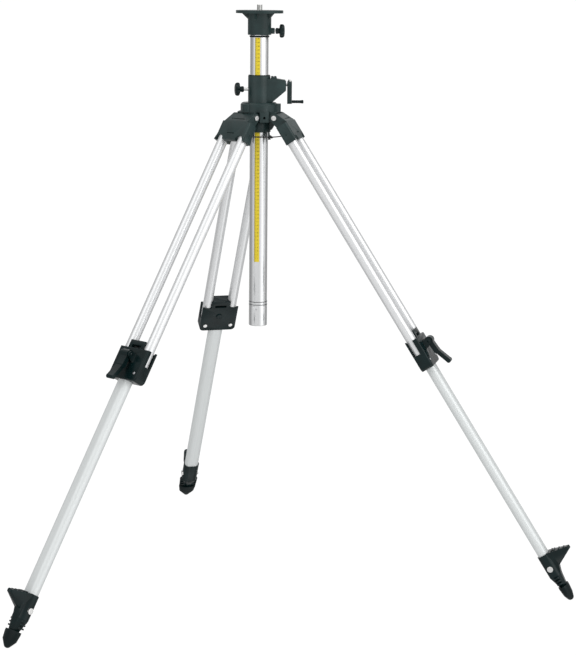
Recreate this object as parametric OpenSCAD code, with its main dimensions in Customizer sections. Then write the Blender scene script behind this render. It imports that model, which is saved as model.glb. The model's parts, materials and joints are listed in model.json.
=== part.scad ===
// Elevating tripod for a surveying instrument.
// A cranked centre column slides through a cast hub. Three legs hinge on the hub, and each
// lower tube slides between two upper tubes and is held by a lever clamp.
// The floor is z = 0 and the column axis is the z axis. Lengths are in millimetres.

/* [Stance] */
// Angle between a leg and the vertical
leg_angle = 32.6; // [25:0.1:35]
// Direction of the right leg, the others follow at thirds of a turn
first_azimuth = -15; // [-60:1:60]
// Distance of the leg hinges from the column axis
hinge_r = 52; // [51:0.5:60]

/* [Column] */
// Outside diameter of the column tube
column_d = 50; // [46:0.5:52]
// Wall of the column tube
column_wall = 2.5; // [2:0.1:4]
// Column tube length
column_len = 774.5; // [700:0.5:900]
// Length of the sleeve on the column's lower end
end_len = 61; // [40:1:80]
// Depth of the column's lower end below the hinges
column_drop = 569; // [540:1:600]
// Length of the printed scale
scale_len = 603; // [400:1:620]
// Width of the printed scale
scale_w = 13.6; // [8:0.1:18]

/* [Head] */
// Diameter of the head flange
flange_d = 127; // [100:1:160]
// Thickness of the head flange
flange_t = 8; // [6:0.5:12]
// Outside diameter of the head socket
socket_d = 63; // [60:0.5:80]
// Length of the head socket under the flange
socket_len = 57; // [45:0.5:75]
// Major diameter of the fixing stud
stud_d = 15.875; // [9.525:0.005:15.875]
// Height of the fixing stud above the flange
stud_h = 15; // [10:0.5:20]
// Diameter of the clamp knobs
knob_d = 36; // [28:0.5:44]

/* [Hub] */
// Outside diameter of the hub sleeve
sleeve_d = 60; // [59:0.5:66]
// Top of the hub sleeve above the hinges
sleeve_top = 110; // [104:0.5:130]
// Bottom of the hub collar below the hinges
collar_drop = 40; // [32:0.5:60]
// Height of the crank axis above the hinges
crank_z = 85.5; // [84:0.5:87]
// Radius of the round part of the hub ring
ring_r = 50; // [46:0.5:51]
// Height of the hub ring
ring_h = 24.5; // [16:0.5:26]
// Width of the gearbox
gearbox_w = 44; // [42:0.5:50]
// Distance of the gearbox end from the column axis
gearbox_reach = 72; // [68:0.5:80]
// Direction of the gearbox and the crank
gear_azimuth = 0; // [-15:1:15]

/* [Crank] */
// Distance between the crank shaft and the grip
crank_throw = 45; // [35:0.5:60]
// Length of the crank grip
grip_len = 31; // [25:0.5:60]
// Tooth size of the rack and its pinion
rack_module = 1.5; // [1.4:0.05:1.5]
// Teeth of the rack pinion
pinion_teeth = 19; // [19:1:20]

/* [Legs] */
// Diameter of an upper tube
tube_d = 28; // [25:0.5:28.5]
// Wall of the upper and lower tubes
tube_wall = 1.5; // [1:0.1:2.5]
// Distance between the two upper tubes
tube_spacing = 73.5; // [73:0.5:78]
// Length of an upper tube
tube_len = 736; // [500:1:800]
// Distance of the tubes outward from the hinge
leg_offset = 8; // [6:0.1:11]
// Length of the leg head below the hinge
leg_head_len = 80; // [70:1:100]
// Width of the lower tube
lower_w = 43; // [38:0.5:43.5]
// Thickness of the lower tube
lower_t = 28.5; // [24:0.5:29]
// Visible length of the lower tube, fully drawn out
lower_show = 592; // [300:1:620]

/* [Clamps] */
// Length of a clamp block
clamp_len = 88; // [84:1:100]
// Width of a clamp lever
lever_w = 26; // [20:0.5:27]

/* [Feet] */
// Length of a foot from its top to the boot's tip
foot_len = 145.5; // [142:0.5:165]
// Reach of the tread lug from the tube axis
tread_reach = 74; // [55:0.5:80]
// Width of the rubber boot
boot_w = 54; // [48:0.5:58]
// Length of the rubber boot
boot_len = 46; // [40:0.5:50]

/* [Hidden] */
$fn = 64;
hull_fn = 32;

sides = ["right", "rear", "left"];
leg_parts = [
    "leg_head", "upper_tubes", "leg_fasteners", "clamp_block", "clamp_lever", "brake_shoe",
    "leg_guide", "lower_tube", "foot", "foot_hardware", "foot_boot"
];
centre_parts = [
    "head_plate", "head_stud", "head_knob", "head_screw",
    "column_tube", "column_scale", "column_rack", "column_end", "column_ring",
    "hub", "gear_cover", "gear_cover_screws", "column_bushes", "shaft_bush",
    "clamp_knob", "clamp_screw", "clamp_pad",
    "crank_shaft", "crank_arm", "crank_set_screw", "crank_grip", "pinion_shaft", "bevel_gear"
];

// Colours as the photo shows them
black_paint = [0.16, 0.18, 0.18];
black_plastic = [0.13, 0.15, 0.15];
aluminium = [0.82, 0.83, 0.84];
zinc = [0.72, 0.72, 0.7];
steel = [0.55, 0.56, 0.57];
rubber = [0.1, 0.11, 0.11];
scale_yellow = [0.93, 0.78, 0.2];
brass = [0.7, 0.58, 0.3];

// Fits and small gaps
bar_step = 0.3;
run_gap = 0.05;
slide_gap = 0.3;
seat_gap = 0.05;
reach = 1;

// Places along a leg, measured down from the hinge
tube_grip = 42;
tube_top = leg_head_len - tube_grip;
tube_end = tube_top + tube_len;
clamp_floor = 12;
clamp_bottom = tube_end + clamp_floor;
clamp_top = clamp_bottom - clamp_len;
foot_top = clamp_bottom + lower_show;
leg_len = foot_top + foot_len;

// Hinge height, so that the boots stand on the floor
tip_r = 10;
boot_shift = 3;
tip_along = leg_len - tip_r;
boot_axis = leg_offset + boot_shift;
hinge_z = tip_along * cos(leg_angle) - boot_axis * sin(leg_angle) + tip_r;
azimuths = [for (i = [0:2]) first_azimuth + i * 120];

// Column
column_r = column_d / 2;
column_low = -column_drop + end_len;
column_top = column_low + column_len;
groove_d = 0.5;
groove_h = 1;
groove_step = 8;
scale_azimuth = -101;
scale_top_drop = 55;
scale_low = column_top - scale_top_drop - scale_len;
strip_steps = 5;
scale_t = 0.33;
scale_recess = 0.4;
scale_r = column_r - scale_recess + run_gap;
ring_t = 4.2;
buffer_t = 1.6;
spigot_r = 15.6;
spigot_len = 30;
end_bore_r = 12;
end_chamfer = 1.5;

// Rack channel in the column
rack_w = 9;
rack_sink = 0.5;
rack_t = 6.5;
rack_tip = column_r - rack_sink;
rack_back = rack_tip - rack_t;
channel_wall = 2;
rack_gap = 0.1;
rack_top_gap = 7;
rack_low_gap = 118;

// Head
head_cap = 17;
head_z = column_top + head_cap;
flange_z = head_z - flange_t;
socket_z = flange_z - socket_len;
flange_r = flange_d / 2;
flange_edge = 1;
socket_r = socket_d / 2;
socket_bore = column_r + run_gap;
stud_r = stud_d / 2;
stud_base_r = 14;
stud_base_t = 4.2;
stud_floor = 1;
stud_relief = 0.6;
gusset_count = 5;
gusset_w = 6;
gusset_reach = 16;
gusset_drop = 16;
head_knob_up = 10.6;
head_knob_z = socket_z + head_knob_up;
head_boss_r = 8;
head_boss_out = 40.5;

// Clamp screws and knobs
screw_r = 4;
knob_hub_r = 8;
knob_hub_len = 10;
knob_t = 11;
knob_lobes = 6;
knob_dip_share = 0.24;
knob_round = 2;
head_knob_in = 43;
column_knob_in = 42;
column_knob_azimuth = 188;
column_knob_z = 74;
knob_boss_r = 9;
knob_boss_out = 36;
knob_rib_out = 35;
knob_rib_w = 10;
pad_r = 5;
pad_t = 3.2;
pad_recess = 31;

// Hub
sleeve_r = sleeve_d / 2;
hub_bore = 27.6;
collar_r = 31.5;
collar_top = -14;
ring_z = 14.5;
ring_edge = 5;
lobe_r = 12.5;
lobe_reach = 60;
lobe_h = ring_h - ring_edge / 2;
lug_r = 9;
lug_w = 62;
core_r = 24;
hinge_bolt_r = 5;
tab_w = 25;
tab_reach = 54;
tab_bottom = -12;
tab_top = 16;
tab_hole_r = 3.5;
tab_hole_depth = 14;
rib_w = 12;
rib_in = 29;
rib_foot = 35;
rib_out = 51;
rib_low = -34;
rib_high = -7;
bush_lip = 2.5;
bush_lip_r = 29;
low_bush_len = 18;

// Gearbox, in a frame whose x axis points at the crank
gearbox_in = 20;
gearbox_top = 102.5;
gearbox_end_top = 96;
gearbox_end_low = 71.5;
gearbox_low = 40;
gearbox_low_reach = 35;
gearbox_edge = 3;
cover_in = 31.5;
cover_out = 47;
cover_t = 4.5;
cover_screw_r = 3;
cover_screw_h = 1.5;
cover_screw_inset = 3.8;
cover_opening = cover_out - 2 * cover_screw_inset;
cavity_w = 23;
cavity_gap = 1;

// Crank, whose axis runs beside the rack pinion
crank_y = 9.5;
shaft_r = 4;
shaft_bush_r = 6.5;
shaft_bush_in = 56;
arm_gap = 3.5;
arm_in = gearbox_reach + arm_gap;
arm_t = 12.5;
arm_r = 10;
arm_grip_r = 6.2;
grip_pin_r = 2.5;
grip_r = 4;
grip_end_r = 4.9;
grip_gap = 0.6;
set_screw_r = 2.5;
set_head_r = 4.2;
set_head_h = 3.5;
washer_r = 5.6;
washer_t = 1.2;

// Rack and pinion, with full tooth height above and below the pitch line
press_angle = 20;
tooth_share = 0.9;
addendum = rack_module;
dedendum_share = 1.25;
dedendum = rack_module * dedendum_share;
rack_pitch_x = rack_tip - addendum;
rack_step = PI * rack_module;
pinion_pitch_r = pinion_teeth * rack_module / 2;
pinion_x = rack_pitch_x + pinion_pitch_r;
pinion_w = 6;
pinion_shaft_r = 4.5;
pinion_shaft_len = 31;

// The upper bush ends above the pinion's tips where they reach the hub bore
pinion_tip_r = pinion_pitch_r + addendum;
pinion_rise = sqrt(pow(pinion_tip_r, 2) - pow(pinion_x - hub_bore, 2));
bush_len = sleeve_top - crank_z - pinion_rise - cavity_gap / 2;

// Bevel pair, two to one, with their common apex on the pinion shaft
bevel_gear_teeth = 20;
bevel_pinion_teeth = 10;
bevel_gear_r = 10;
bevel_pinion_r = bevel_gear_r * bevel_pinion_teeth / bevel_gear_teeth;
bevel_face_share = 0.26;
bevel_module = 2 * bevel_gear_r / bevel_gear_teeth;
bevel_cone = sqrt(bevel_gear_r * bevel_gear_r + bevel_pinion_r * bevel_pinion_r);
bevel_tip_share = 0.75;
bevel_root_share = 1.05;
bevel_tooth_share = 0.76;
bevel_back_r = 7.5;

// Leg head
tube_r = tube_d / 2;
sleeve_wall = 1.5;
sleeve_corner = 7;
head_in = tube_r + sleeve_wall;
head_wall = 4;
head_out = tube_r + head_wall;
head_side = tube_spacing / 2 + head_in;
flare_in = 6;
flare_out = 6;
flare_top = 10;
flare_t = 26;
elbow = 26;
arch_r = 13;
hollow_half = tube_spacing / 2 - head_in;
ear_gap = 0.4;
ear_t = 8.6;
ear_in = lug_w / 2 + ear_gap;
ear_out = ear_in + ear_t;
ear_r = 12.5;
hood_out = 10.2;
hood_t = 2.2;
hood_top = 7;
hood_edge = 10;
web_in = 5;
groove_w = 50;
groove_depth = 1.5;
groove_along = 14;
groove_tall = 3;
slot_w = 26;
slot_h = 3;
slot_depth = 2.5;
slot_along = 60;
side_hole_r = 2.2;
side_hole_along = 56;
bolt_head_r = 6.6;
bolt_head_t = 4;
eye_r = 4;
eye_len = 6;
eye_along = 50;
eye_y = 24;

// Clamp block
block_wall = 1.5;
block_in = tube_r + block_wall;
block_front = 5.5;
block_out = tube_r + block_front;
block_rim = 3;
block_side = tube_spacing / 2 + tube_r + block_rim;
block_corner = 12;
bore_gap = slide_gap;
window_inner = 12.5;
window_outer = 6;
window_y = 40;
window_low = 42;
wing_w = 7;
wing_t = 3;
wing_up = 3;
pin_out = 35.5;
pin_drop = 25;
pin_along = clamp_top + pin_drop;
pin_r = 3;
lever_gap = 0.4;
lever_ear_t = 6;
lever_ear_r = 8.5;
lever_half = lever_w / 2;
drum_r = 11.5;
drum_shift = 1.2;
shoe_w = 20;
shoe_h = 18;
shoe_gap = 0.35;
clamp_screw_y = 38.5;
clamp_screw_up = 20.5;
clamp_screw_r = 2.4;
clamp_head_r = 5.5;
clamp_head_t = 3;
badge_r = 9;
badge_t = 1.5;
badge_up = 54;

// Lever from its pin, outward and up the leg
lever_knee = [2.5, -33];
lever_tip = [17.5, -73];
lever_root_r = 7;
lever_end_r = 6;

// Guide on top of the lower tube
guide_h = 22;
guide_bar = 13;
guide_open = 17;
guide_half = 15.5;
guide_leg = 6.5;
guide_wing_w = 56;
guide_wing_in = 9;
guide_gap = 0.4;
plug_len = 18;
plug_wall = 3;

// Foot
lower_top = clamp_top + reach;
foot_wall = 3;
foot_socket = 66;
foot_floor = 8;
neck_len = 43;
neck_w = 32;
neck_t = 21;
neck_plug_w = neck_w - 2 * bar_step;
neck_plug_t = neck_t - 2 * bar_step;
boot_top = leg_len - boot_len;
foot_rib_w = 57;
foot_rib_t = 18;
foot_rib_h = 4;
foot_rib_step = 9;
foot_rib_first = 69;
tread_w = 40;
tread_tip_r = 10;
tread_rib_w = 18;
tread_root_w = 18;
tread_root_in = 10;
tread_root_out = 24;
tread_rise = 3;
tread_t = 7;
tread_drop = 13;
tread_rib_r = 1.8;
tread_rib_count = 3;
tread_rib_step = 13;
tread_foot = 40;
tread_foot_out = 26;
ridge_w = 22;
ridge_out = 24;
ridge_top = 30;
ridge_low = 90;
ridge_low_out = 9;
foot_bolt_r = 3;
foot_bolt_along = 41;
foot_bolt_head_r = 8;
foot_bolt_head_t = 3.5;
spot_depth = 1.2;
foot_face = lower_w / 2 + foot_wall - spot_depth;
spike_r = 6;
spike_len = 26;
spike_tip_r = 1.5;
boot_t = 29.5;
boot_mid = 20;
boot_mid_share = 0.88;
boot_lip = 7;

// Spreader cord
cord_r = 1.5;
knot_r = 2.4;
knot_half = 8;
knot_share = 0.3;
cord_gap = 0.4;

// Places a piece drawn in leg coordinates: x outward, y along the hinge, z up the leg
module on_leg(i)
    rotate([0, 0, azimuths[i]])
    translate([hinge_r, 0, hinge_z])
    rotate([0, -leg_angle, 0])
    children();

// Places a piece drawn with z = 0 at the hinges
module lifted()
    translate([0, 0, hinge_z])
    children();

// Turns a radial piece to a direction around the column
module facing(azimuth)
    rotate([0, 0, azimuth])
    children();

// Cylinder along x from x0 to x1
module rod_x(r, x0, x1)
    translate([x0, 0, 0])
    rotate([0, 90, 0])
    cylinder(r = r, h = x1 - x0);

// Cylinder along y, centred
module rod_y(r, len)
    rotate([90, 0, 0])
    cylinder(r = r, h = len, center = true);

// Plate with an outline in x and z, centred on y
module plate_xz(points, w)
    rotate([90, 0, 0])
    linear_extrude(height = w, center = true)
    polygon(points);

// Box from its two corners
module block(a, b)
    translate(a)
    cube(b - a);

// Flat oval outline, wide along y
module oval(t, w)
    union() {
        square([t, w - t], center = true);
        for (s = [-1, 1])
            translate([0, s * (w - t) / 2])
            circle(d = t);
    }

// Flat oval bar down a leg on the tube axis, between two places along it
module oval_bar(t, w, a0, a1)
    translate([leg_offset, 0, -a1])
    linear_extrude(height = a1 - a0)
    oval(t, w);

// Box outline with round corners, wide along y
module round_box(t, w, corner)
    union() {
        square([t - 2 * corner, w], center = true);
        square([t, w - 2 * corner], center = true);
        for (x = [-1, 1])
            for (y = [-1, 1])
                translate([x * (t / 2 - corner), y * (w / 2 - corner)])
                circle(r = corner);
    }

// Box bar down a leg on the tube axis, between two places along it
module box_bar(t, w, corner, a0, a1)
    translate([leg_offset, 0, -a1])
    linear_extrude(height = a1 - a0)
    round_box(t, w, corner);

// Bar with round ends between two points in x and z, centred on y
module round_bar(p, q, r, w)
    let (d = q - p)
    union() {
        for (e = [p, q])
            translate([e.x, 0, e.y])
            rod_y(r, w);
        translate([p.x, 0, p.y])
        rotate([0, -atan2(d.y, d.x), 0])
        translate([0, bar_step - w / 2, bar_step - r])
        cube([norm(d), w - 2 * bar_step, 2 * (r - bar_step)]);
    }

// Cylinder down a leg on one tube axis
module tube_rod(s, r, a0, a1)
    translate([leg_offset, s * tube_spacing / 2, -a1])
    cylinder(r = r, h = a1 - a0);

// Involute angle in degrees
function involute(a) = tan(a) * 180 / PI - a;

// Half the angle of a spur tooth at a radius
function spur_half(n, m, share, r) =
    let (base = n * m / 2 * cos(press_angle))
    90 / n * share + involute(press_angle) - involute(acos(min(1, base / max(r, base))));

function polar(r, a) = [r * cos(a), r * sin(a)];

// Outline of a gear from its radii and the half angle at each of them
function gear_points(n, radii, halves) = [
    for (i = [0:n - 1])
        let (mid = i * 360 / n, last = len(radii) - 1)
            for (k = [0:2 * last + 1])
                k <= last
                    ? polar(radii[k], mid - halves[k])
                    : polar(radii[2 * last + 1 - k], mid + halves[2 * last + 1 - k])
];

pinion_radii = [
    pinion_pitch_r - dedendum, pinion_pitch_r * cos(press_angle), pinion_pitch_r, pinion_pitch_r + addendum
];
pinion_halves = [for (r = pinion_radii) spur_half(pinion_teeth, rack_module, tooth_share, r)];

// A bevel gear's outline on its flat back, for a pitch radius and the apex distance of that back
function bevel_radius(pitch, back, rise) = back * tan(atan(pitch / back) + atan(rise / bevel_cone));
function bevel_half(pitch, back, rise) =
    let (r = bevel_cone * sin(atan(pitch / back) + atan(rise / bevel_cone)))
    (PI * bevel_module / 4 * bevel_tooth_share - rise * tan(press_angle)) / r * 180 / PI;
bevel_rises = [-bevel_module * bevel_root_share, 0, bevel_module * bevel_tip_share];

// Tapered toothed wheel on z, with its back at the given height and its apex at the origin
module bevel_wheel(n, pitch, back)
    mirror([0, 0, 1])
    translate([0, 0, -back])
    linear_extrude(height = back * bevel_face_share, scale = 1 - bevel_face_share)
    polygon(gear_points(
        n,
        [for (r = bevel_rises) bevel_radius(pitch, back, r)],
        [for (r = bevel_rises) bevel_half(pitch, back, r)]
    ));

// Knob with finger dips, on the x axis, from its inner end
module knob(inner)
    union() {
        rod_x(knob_hub_r, inner, inner + knob_hub_len + reach);
        difference() {
            translate([inner + knob_hub_len, 0, 0])
            rotate([0, 90, 0])
            rotate_extrude()
            union() {
                square([knob_d / 2 - knob_round, knob_t]);
                translate([0, knob_round])
                square([knob_d / 2, knob_t - 2 * knob_round]);
                for (z = [knob_round, knob_t - knob_round])
                    translate([knob_d / 2 - knob_round, z])
                    circle(r = knob_round, $fn = hull_fn);
            }
            for (i = [0:knob_lobes - 1])
                rotate([i * 360 / knob_lobes, 0, 0])
                translate([0, 0, knob_d / 2 + knob_d * knob_dip_share / 2])
                translate([inner + knob_hub_len, 0, 0])
                rod_x(knob_d * knob_dip_share, -reach, knob_t + reach);
        }
    }

// Head
module head_plate()
    color(black_paint) lifted()
    difference() {
        union() {
            translate([0, 0, flange_z])
            cylinder(r = flange_r, h = flange_t - flange_edge);
            translate([0, 0, head_z - flange_edge])
            cylinder(r1 = flange_r, r2 = flange_r - flange_edge, h = flange_edge);
            translate([0, 0, socket_z])
            cylinder(r = socket_r, h = socket_len + reach);
            for (i = [0:gusset_count - 1])
                rotate([0, 0, (i + 0.5) * 360 / gusset_count])
                plate_xz([
                    [column_r + reach * 2, flange_z + reach],
                    [socket_r + gusset_reach, flange_z + reach],
                    [socket_r + gusset_reach, flange_z],
                    [socket_r - reach, flange_z - gusset_drop],
                    [column_r + reach * 2, flange_z - gusset_drop]
                ], gusset_w);
            translate([0, 0, head_knob_z])
            rod_x(head_boss_r, column_r + reach * 2, head_boss_out);
        }
        translate([0, 0, socket_z - reach])
        cylinder(r = socket_bore, h = column_top + stud_floor - socket_z + reach);
        translate([0, 0, column_top])
        cylinder(r = stud_base_r + seat_gap, h = stud_floor + stud_base_t);
        cylinder(r = stud_r + seat_gap, h = head_z + reach);
        translate([0, 0, head_knob_z])
        rod_x(screw_r + seat_gap, 0, head_boss_out + reach);
    }

module head_stud()
    color(zinc) lifted()
    union() {
        translate([0, 0, column_top + stud_floor])
        cylinder(r = stud_base_r, h = stud_base_t);
        translate([0, 0, column_top + stud_floor])
        cylinder(r = stud_r - stud_relief, h = head_z + reach - column_top - stud_floor);
        translate([0, 0, head_z])
        cylinder(r = stud_r, h = stud_h);
    }

module head_knob()
    color(black_plastic) lifted()
    translate([0, 0, head_knob_z])
    difference() {
        knob(head_knob_in);
        rod_x(screw_r + seat_gap, head_knob_in - reach, head_knob_in + knob_hub_len + knob_t / 2);
    }

module head_screw()
    color(zinc) lifted()
    translate([0, 0, head_knob_z])
    rod_x(screw_r, column_r + slide_gap + slide_gap, head_knob_in + knob_hub_len + knob_t / 2);

// Column
module column_tube()
    color(aluminium) lifted()
    difference() {
        translate([0, 0, column_low])
        linear_extrude(height = column_len)
        difference() {
            union() {
                difference() {
                    circle(r = column_r, $fn = 96);
                    circle(r = column_r - column_wall, $fn = 96);
                }
                facing(gear_azimuth)
                translate([rack_back - channel_wall, -rack_w / 2 - channel_wall])
                square([column_r - column_wall / 2 - rack_back + channel_wall, rack_w + 2 * channel_wall]);
            }
            facing(gear_azimuth)
            translate([rack_back, -rack_w / 2 - rack_gap])
            square([column_r, rack_w + 2 * rack_gap]);
        }
        translate([0, 0, column_low + groove_step])
        difference() {
            cylinder(r = column_r + reach, h = groove_h);
            translate([0, 0, -reach])
            cylinder(r = column_r - groove_d, h = groove_h + 2 * reach);
        }
        scale_strip(column_r - scale_recess, column_r + reach, scale_w + scale_recess);
    }

// Curved strip on the column's face, between two radii
module scale_strip(r0, r1, w)
    facing(scale_azimuth)
    translate([0, 0, scale_low])
    intersection() {
        difference() {
            cylinder(r = r1, h = scale_len);
            translate([0, 0, -reach])
            cylinder(r = r0, h = scale_len + 2 * reach);
        }
        block([0, -w / 2, -reach], [column_d, w / 2, scale_len + reach]);
    }

module column_scale()
    color(scale_yellow) lifted()
    facing(scale_azimuth)
    translate([0, 0, scale_low + seat_gap])
    linear_extrude(height = scale_len - 2 * seat_gap)
    polygon(concat(strip_arc(scale_r, 1), strip_arc(scale_r + scale_t, -1)));

// Points across the tape at a radius, from one side to the other
function strip_arc(r, way) =
    let (half = asin(scale_w / 2 / r))
    [for (i = [-strip_steps:strip_steps]) polar(r, way * half * i / strip_steps)];

module column_rack()
    color(steel) lifted()
    facing(gear_azimuth)
    plate_xz(concat(
        [for (end = [rack_last + 0.5, rack_first - 0.5]) [rack_back + run_gap, rack_end_z(end)]],
        [
            for (i = [rack_first:rack_last])
                for (p = rack_tooth)
                    [rack_pitch_x + p.x, crank_z + i * rack_step + p.y]
        ]
    ), rack_w);

// One rack tooth stands in the pinion's gap, and the row fills the column between its two margins
rack_last = floor((column_top - rack_top_gap - crank_z) / rack_step - 0.5);
rack_first = ceil((column_low + rack_low_gap - crank_z) / rack_step + 0.5);
tooth_half = rack_step / 4 * tooth_share;
rack_tooth = [
    [-dedendum, -tooth_half - dedendum * tan(press_angle)],
    [addendum, -tooth_half + addendum * tan(press_angle)],
    [addendum, tooth_half - addendum * tan(press_angle)],
    [-dedendum, tooth_half + dedendum * tan(press_angle)]
];
function rack_end_z(count) = crank_z + count * rack_step;

module column_end()
    color(aluminium) lifted()
    difference() {
        union() {
            translate([0, 0, -column_drop + end_chamfer])
            cylinder(r = column_r, h = end_len - end_chamfer);
            translate([0, 0, -column_drop])
            cylinder(r1 = column_r - end_chamfer, r2 = column_r, h = end_chamfer);
            translate([0, 0, column_low - reach])
            cylinder(r = spigot_r, h = spigot_len + reach);
        }
        translate([0, 0, column_low - groove_step])
        difference() {
            cylinder(r = column_r + reach, h = groove_h);
            translate([0, 0, -reach])
            cylinder(r = column_r - groove_d, h = groove_h + 2 * reach);
        }
        translate([0, 0, -column_drop - reach])
        cylinder(r = end_bore_r, h = end_len + spigot_len + 2 * reach);
    }

module column_ring()
    color(rubber) lifted()
    translate([0, 0, socket_z - groove_h - groove_h - ring_t])
    rotate_extrude()
    translate([column_r + seat_gap, 0])
    union() {
        translate([0, buffer_t / 2])
        square([buffer_t, ring_t - buffer_t]);
        square([buffer_t / 2, ring_t]);
        for (z = [buffer_t / 2, ring_t - buffer_t / 2])
            translate([buffer_t / 2, z])
            circle(r = buffer_t / 2, $fn = hull_fn);
    }

// Hub
gearbox_points = [
    [gearbox_in, gearbox_top],
    [cover_out, gearbox_top],
    [gearbox_reach - gearbox_edge, gearbox_end_top + gearbox_edge],
    [gearbox_reach, gearbox_end_top],
    [gearbox_reach, gearbox_end_low],
    [gearbox_low_reach, gearbox_low],
    [gearbox_in, gearbox_low]
];

module hub_lug()
    union() {
        translate([hinge_r, 0, 0])
        rod_y(lug_r, lug_w);
        block([core_r, -lug_w / 2, -lug_r], [hinge_r, lug_w / 2, lug_r]);
        block([core_r, -lug_w / 2, 0], [hinge_r - reach, lug_w / 2, ring_z + reach]);
        plate_xz([[rib_in, rib_low], [rib_foot, rib_low], [rib_out, rib_high], [rib_in, rib_high]], rib_w);
    }

module hub_ring()
    union() {
        translate([0, 0, ring_z])
        cylinder(r = ring_r, h = ring_h - ring_edge);
        translate([0, 0, ring_z + ring_h - ring_edge])
        cylinder(r1 = ring_r, r2 = ring_r - ring_edge, h = ring_edge);
        for (a = azimuths)
            facing(a)
            translate([0, 0, ring_z])
            union() {
                translate([lobe_reach - lobe_r, 0, 0])
                cylinder(r = lobe_r, h = lobe_h);
                block([0, -lobe_r, 0], [lobe_reach - lobe_r, lobe_r, lobe_h]);
            }
    }

module hub()
    color(black_paint) lifted()
    difference() {
        union() {
            translate([0, 0, -collar_drop])
            cylinder(r = sleeve_r, h = sleeve_top + collar_drop);
            translate([0, 0, -collar_drop])
            cylinder(r = collar_r, h = collar_drop + collar_top);
            hub_ring();
            for (a = azimuths)
                facing(a)
                hub_lug();
            for (a = azimuths)
                facing(a + 60)
                block([core_r, -tab_w / 2, tab_bottom], [tab_reach, tab_w / 2, tab_top]);
            facing(gear_azimuth)
            plate_xz(gearbox_points, gearbox_w);
            facing(column_knob_azimuth)
            union() {
                translate([0, 0, column_knob_z])
                rod_x(knob_boss_r, core_r, knob_boss_out);
                block(
                    [core_r, -knob_rib_w / 2, ring_z],
                    [knob_rib_out, knob_rib_w / 2, column_knob_z]
                );
            }
        }
        translate([0, 0, -collar_drop - reach])
        cylinder(r = hub_bore, h = sleeve_top + collar_drop + 2 * reach);
        facing(gear_azimuth)
        translate([0, crank_y / 2, crank_z])
        union() {
            translate([pinion_x, 0, 0])
            rod_y(pinion_tip_r + cavity_gap, cavity_w);
            block([cover_in, -cavity_w / 2, 0], [cover_opening, cavity_w / 2, gearbox_top - crank_z + reach]);
            translate([pinion_x, 0, 0])
            rod_y(pinion_shaft_r + run_gap, pinion_shaft_len + run_gap * 2);
            translate([0, crank_y / 2, 0])
            union() {
                rod_x(shaft_bush_r + seat_gap, shaft_bush_in, gearbox_reach + reach);
                rod_x(shaft_r + slide_gap, pinion_x, shaft_bush_in + reach);
            }
        }
        for (a = azimuths)
            facing(a)
            translate([hinge_r, 0, 0])
            rod_y(hinge_bolt_r + run_gap, lug_w + 2 * reach);
        for (a = azimuths)
            facing(a + 60)
            rod_x(tab_hole_r, tab_reach - tab_hole_depth, tab_reach + reach);
        facing(column_knob_azimuth)
        translate([0, 0, column_knob_z])
        union() {
            rod_x(screw_r + run_gap, core_r, knob_boss_out + reach);
            rod_x(pad_r + slide_gap, core_r, pad_recess);
        }
    }

// Corners of the gearbox cover where its screws stand
module cover_corners()
    for (x = [cover_in + cover_screw_inset, cover_out - cover_screw_inset])
        for (s = [-1, 1])
            translate([x, s * (gearbox_w / 2 - cover_screw_inset), gearbox_top + cover_t])
            children();

module gear_cover()
    color(black_paint) lifted()
    facing(gear_azimuth)
    difference() {
        block([cover_in, -gearbox_w / 2, gearbox_top], [cover_out, gearbox_w / 2, gearbox_top + cover_t]);
        cover_corners()
        translate([0, 0, -cover_t / 2])
        cylinder(r = cover_screw_r / 2 + seat_gap, h = cover_t);
    }

module gear_cover_screws()
    color(black_paint) lifted()
    facing(gear_azimuth)
    cover_corners()
    union() {
        cylinder(r = cover_screw_r, h = cover_screw_h);
        translate([0, 0, -cover_t / 2])
        cylinder(r = cover_screw_r / 2, h = cover_t / 2 + reach);
    }

module column_bushes()
    color(black_plastic) lifted()
    difference() {
        union() {
            translate([0, 0, sleeve_top - bush_len])
            cylinder(r = hub_bore - seat_gap, h = bush_len + reach);
            translate([0, 0, sleeve_top])
            cylinder(r = bush_lip_r, h = bush_lip);
            translate([0, 0, -collar_drop])
            cylinder(r = hub_bore - seat_gap, h = low_bush_len);
        }
        translate([0, 0, -collar_drop - reach])
        cylinder(r = column_r + 2 * run_gap, h = sleeve_top + collar_drop + bush_lip + 2 * reach);
    }

module shaft_bush()
    color(brass) lifted()
    facing(gear_azimuth)
    translate([0, crank_y, crank_z])
    difference() {
        rod_x(shaft_bush_r, shaft_bush_in + run_gap, gearbox_reach);
        rod_x(shaft_r + run_gap, shaft_bush_in - reach, gearbox_reach + reach);
    }

module clamp_knob()
    color(black_plastic) lifted()
    facing(column_knob_azimuth)
    translate([0, 0, column_knob_z])
    difference() {
        knob(column_knob_in);
        rod_x(screw_r + seat_gap, column_knob_in - reach, column_knob_in + knob_hub_len + knob_t / 2);
    }

module clamp_screw()
    color(zinc) lifted()
    facing(column_knob_azimuth)
    translate([0, 0, column_knob_z])
    rod_x(screw_r, column_r + slide_gap + pad_t, column_knob_in + knob_hub_len + knob_t / 2);

module clamp_pad()
    color(black_plastic) lifted()
    facing(column_knob_azimuth)
    translate([0, 0, column_knob_z])
    rod_x(pad_r, column_r + slide_gap, column_r + slide_gap + pad_t);

// Crank and gears
module crank_shaft()
    color(steel) lifted()
    facing(gear_azimuth)
    translate([pinion_x, crank_y, crank_z])
    union() {
        rotate([0, 90, 0])
        rotate([0, 0, -90 + 180 / bevel_pinion_teeth])
        bevel_wheel(bevel_pinion_teeth, bevel_pinion_r, bevel_gear_r);
        rod_x(shaft_r, bevel_gear_r - slide_gap, arm_in + arm_t - pinion_x);
    }

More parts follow.
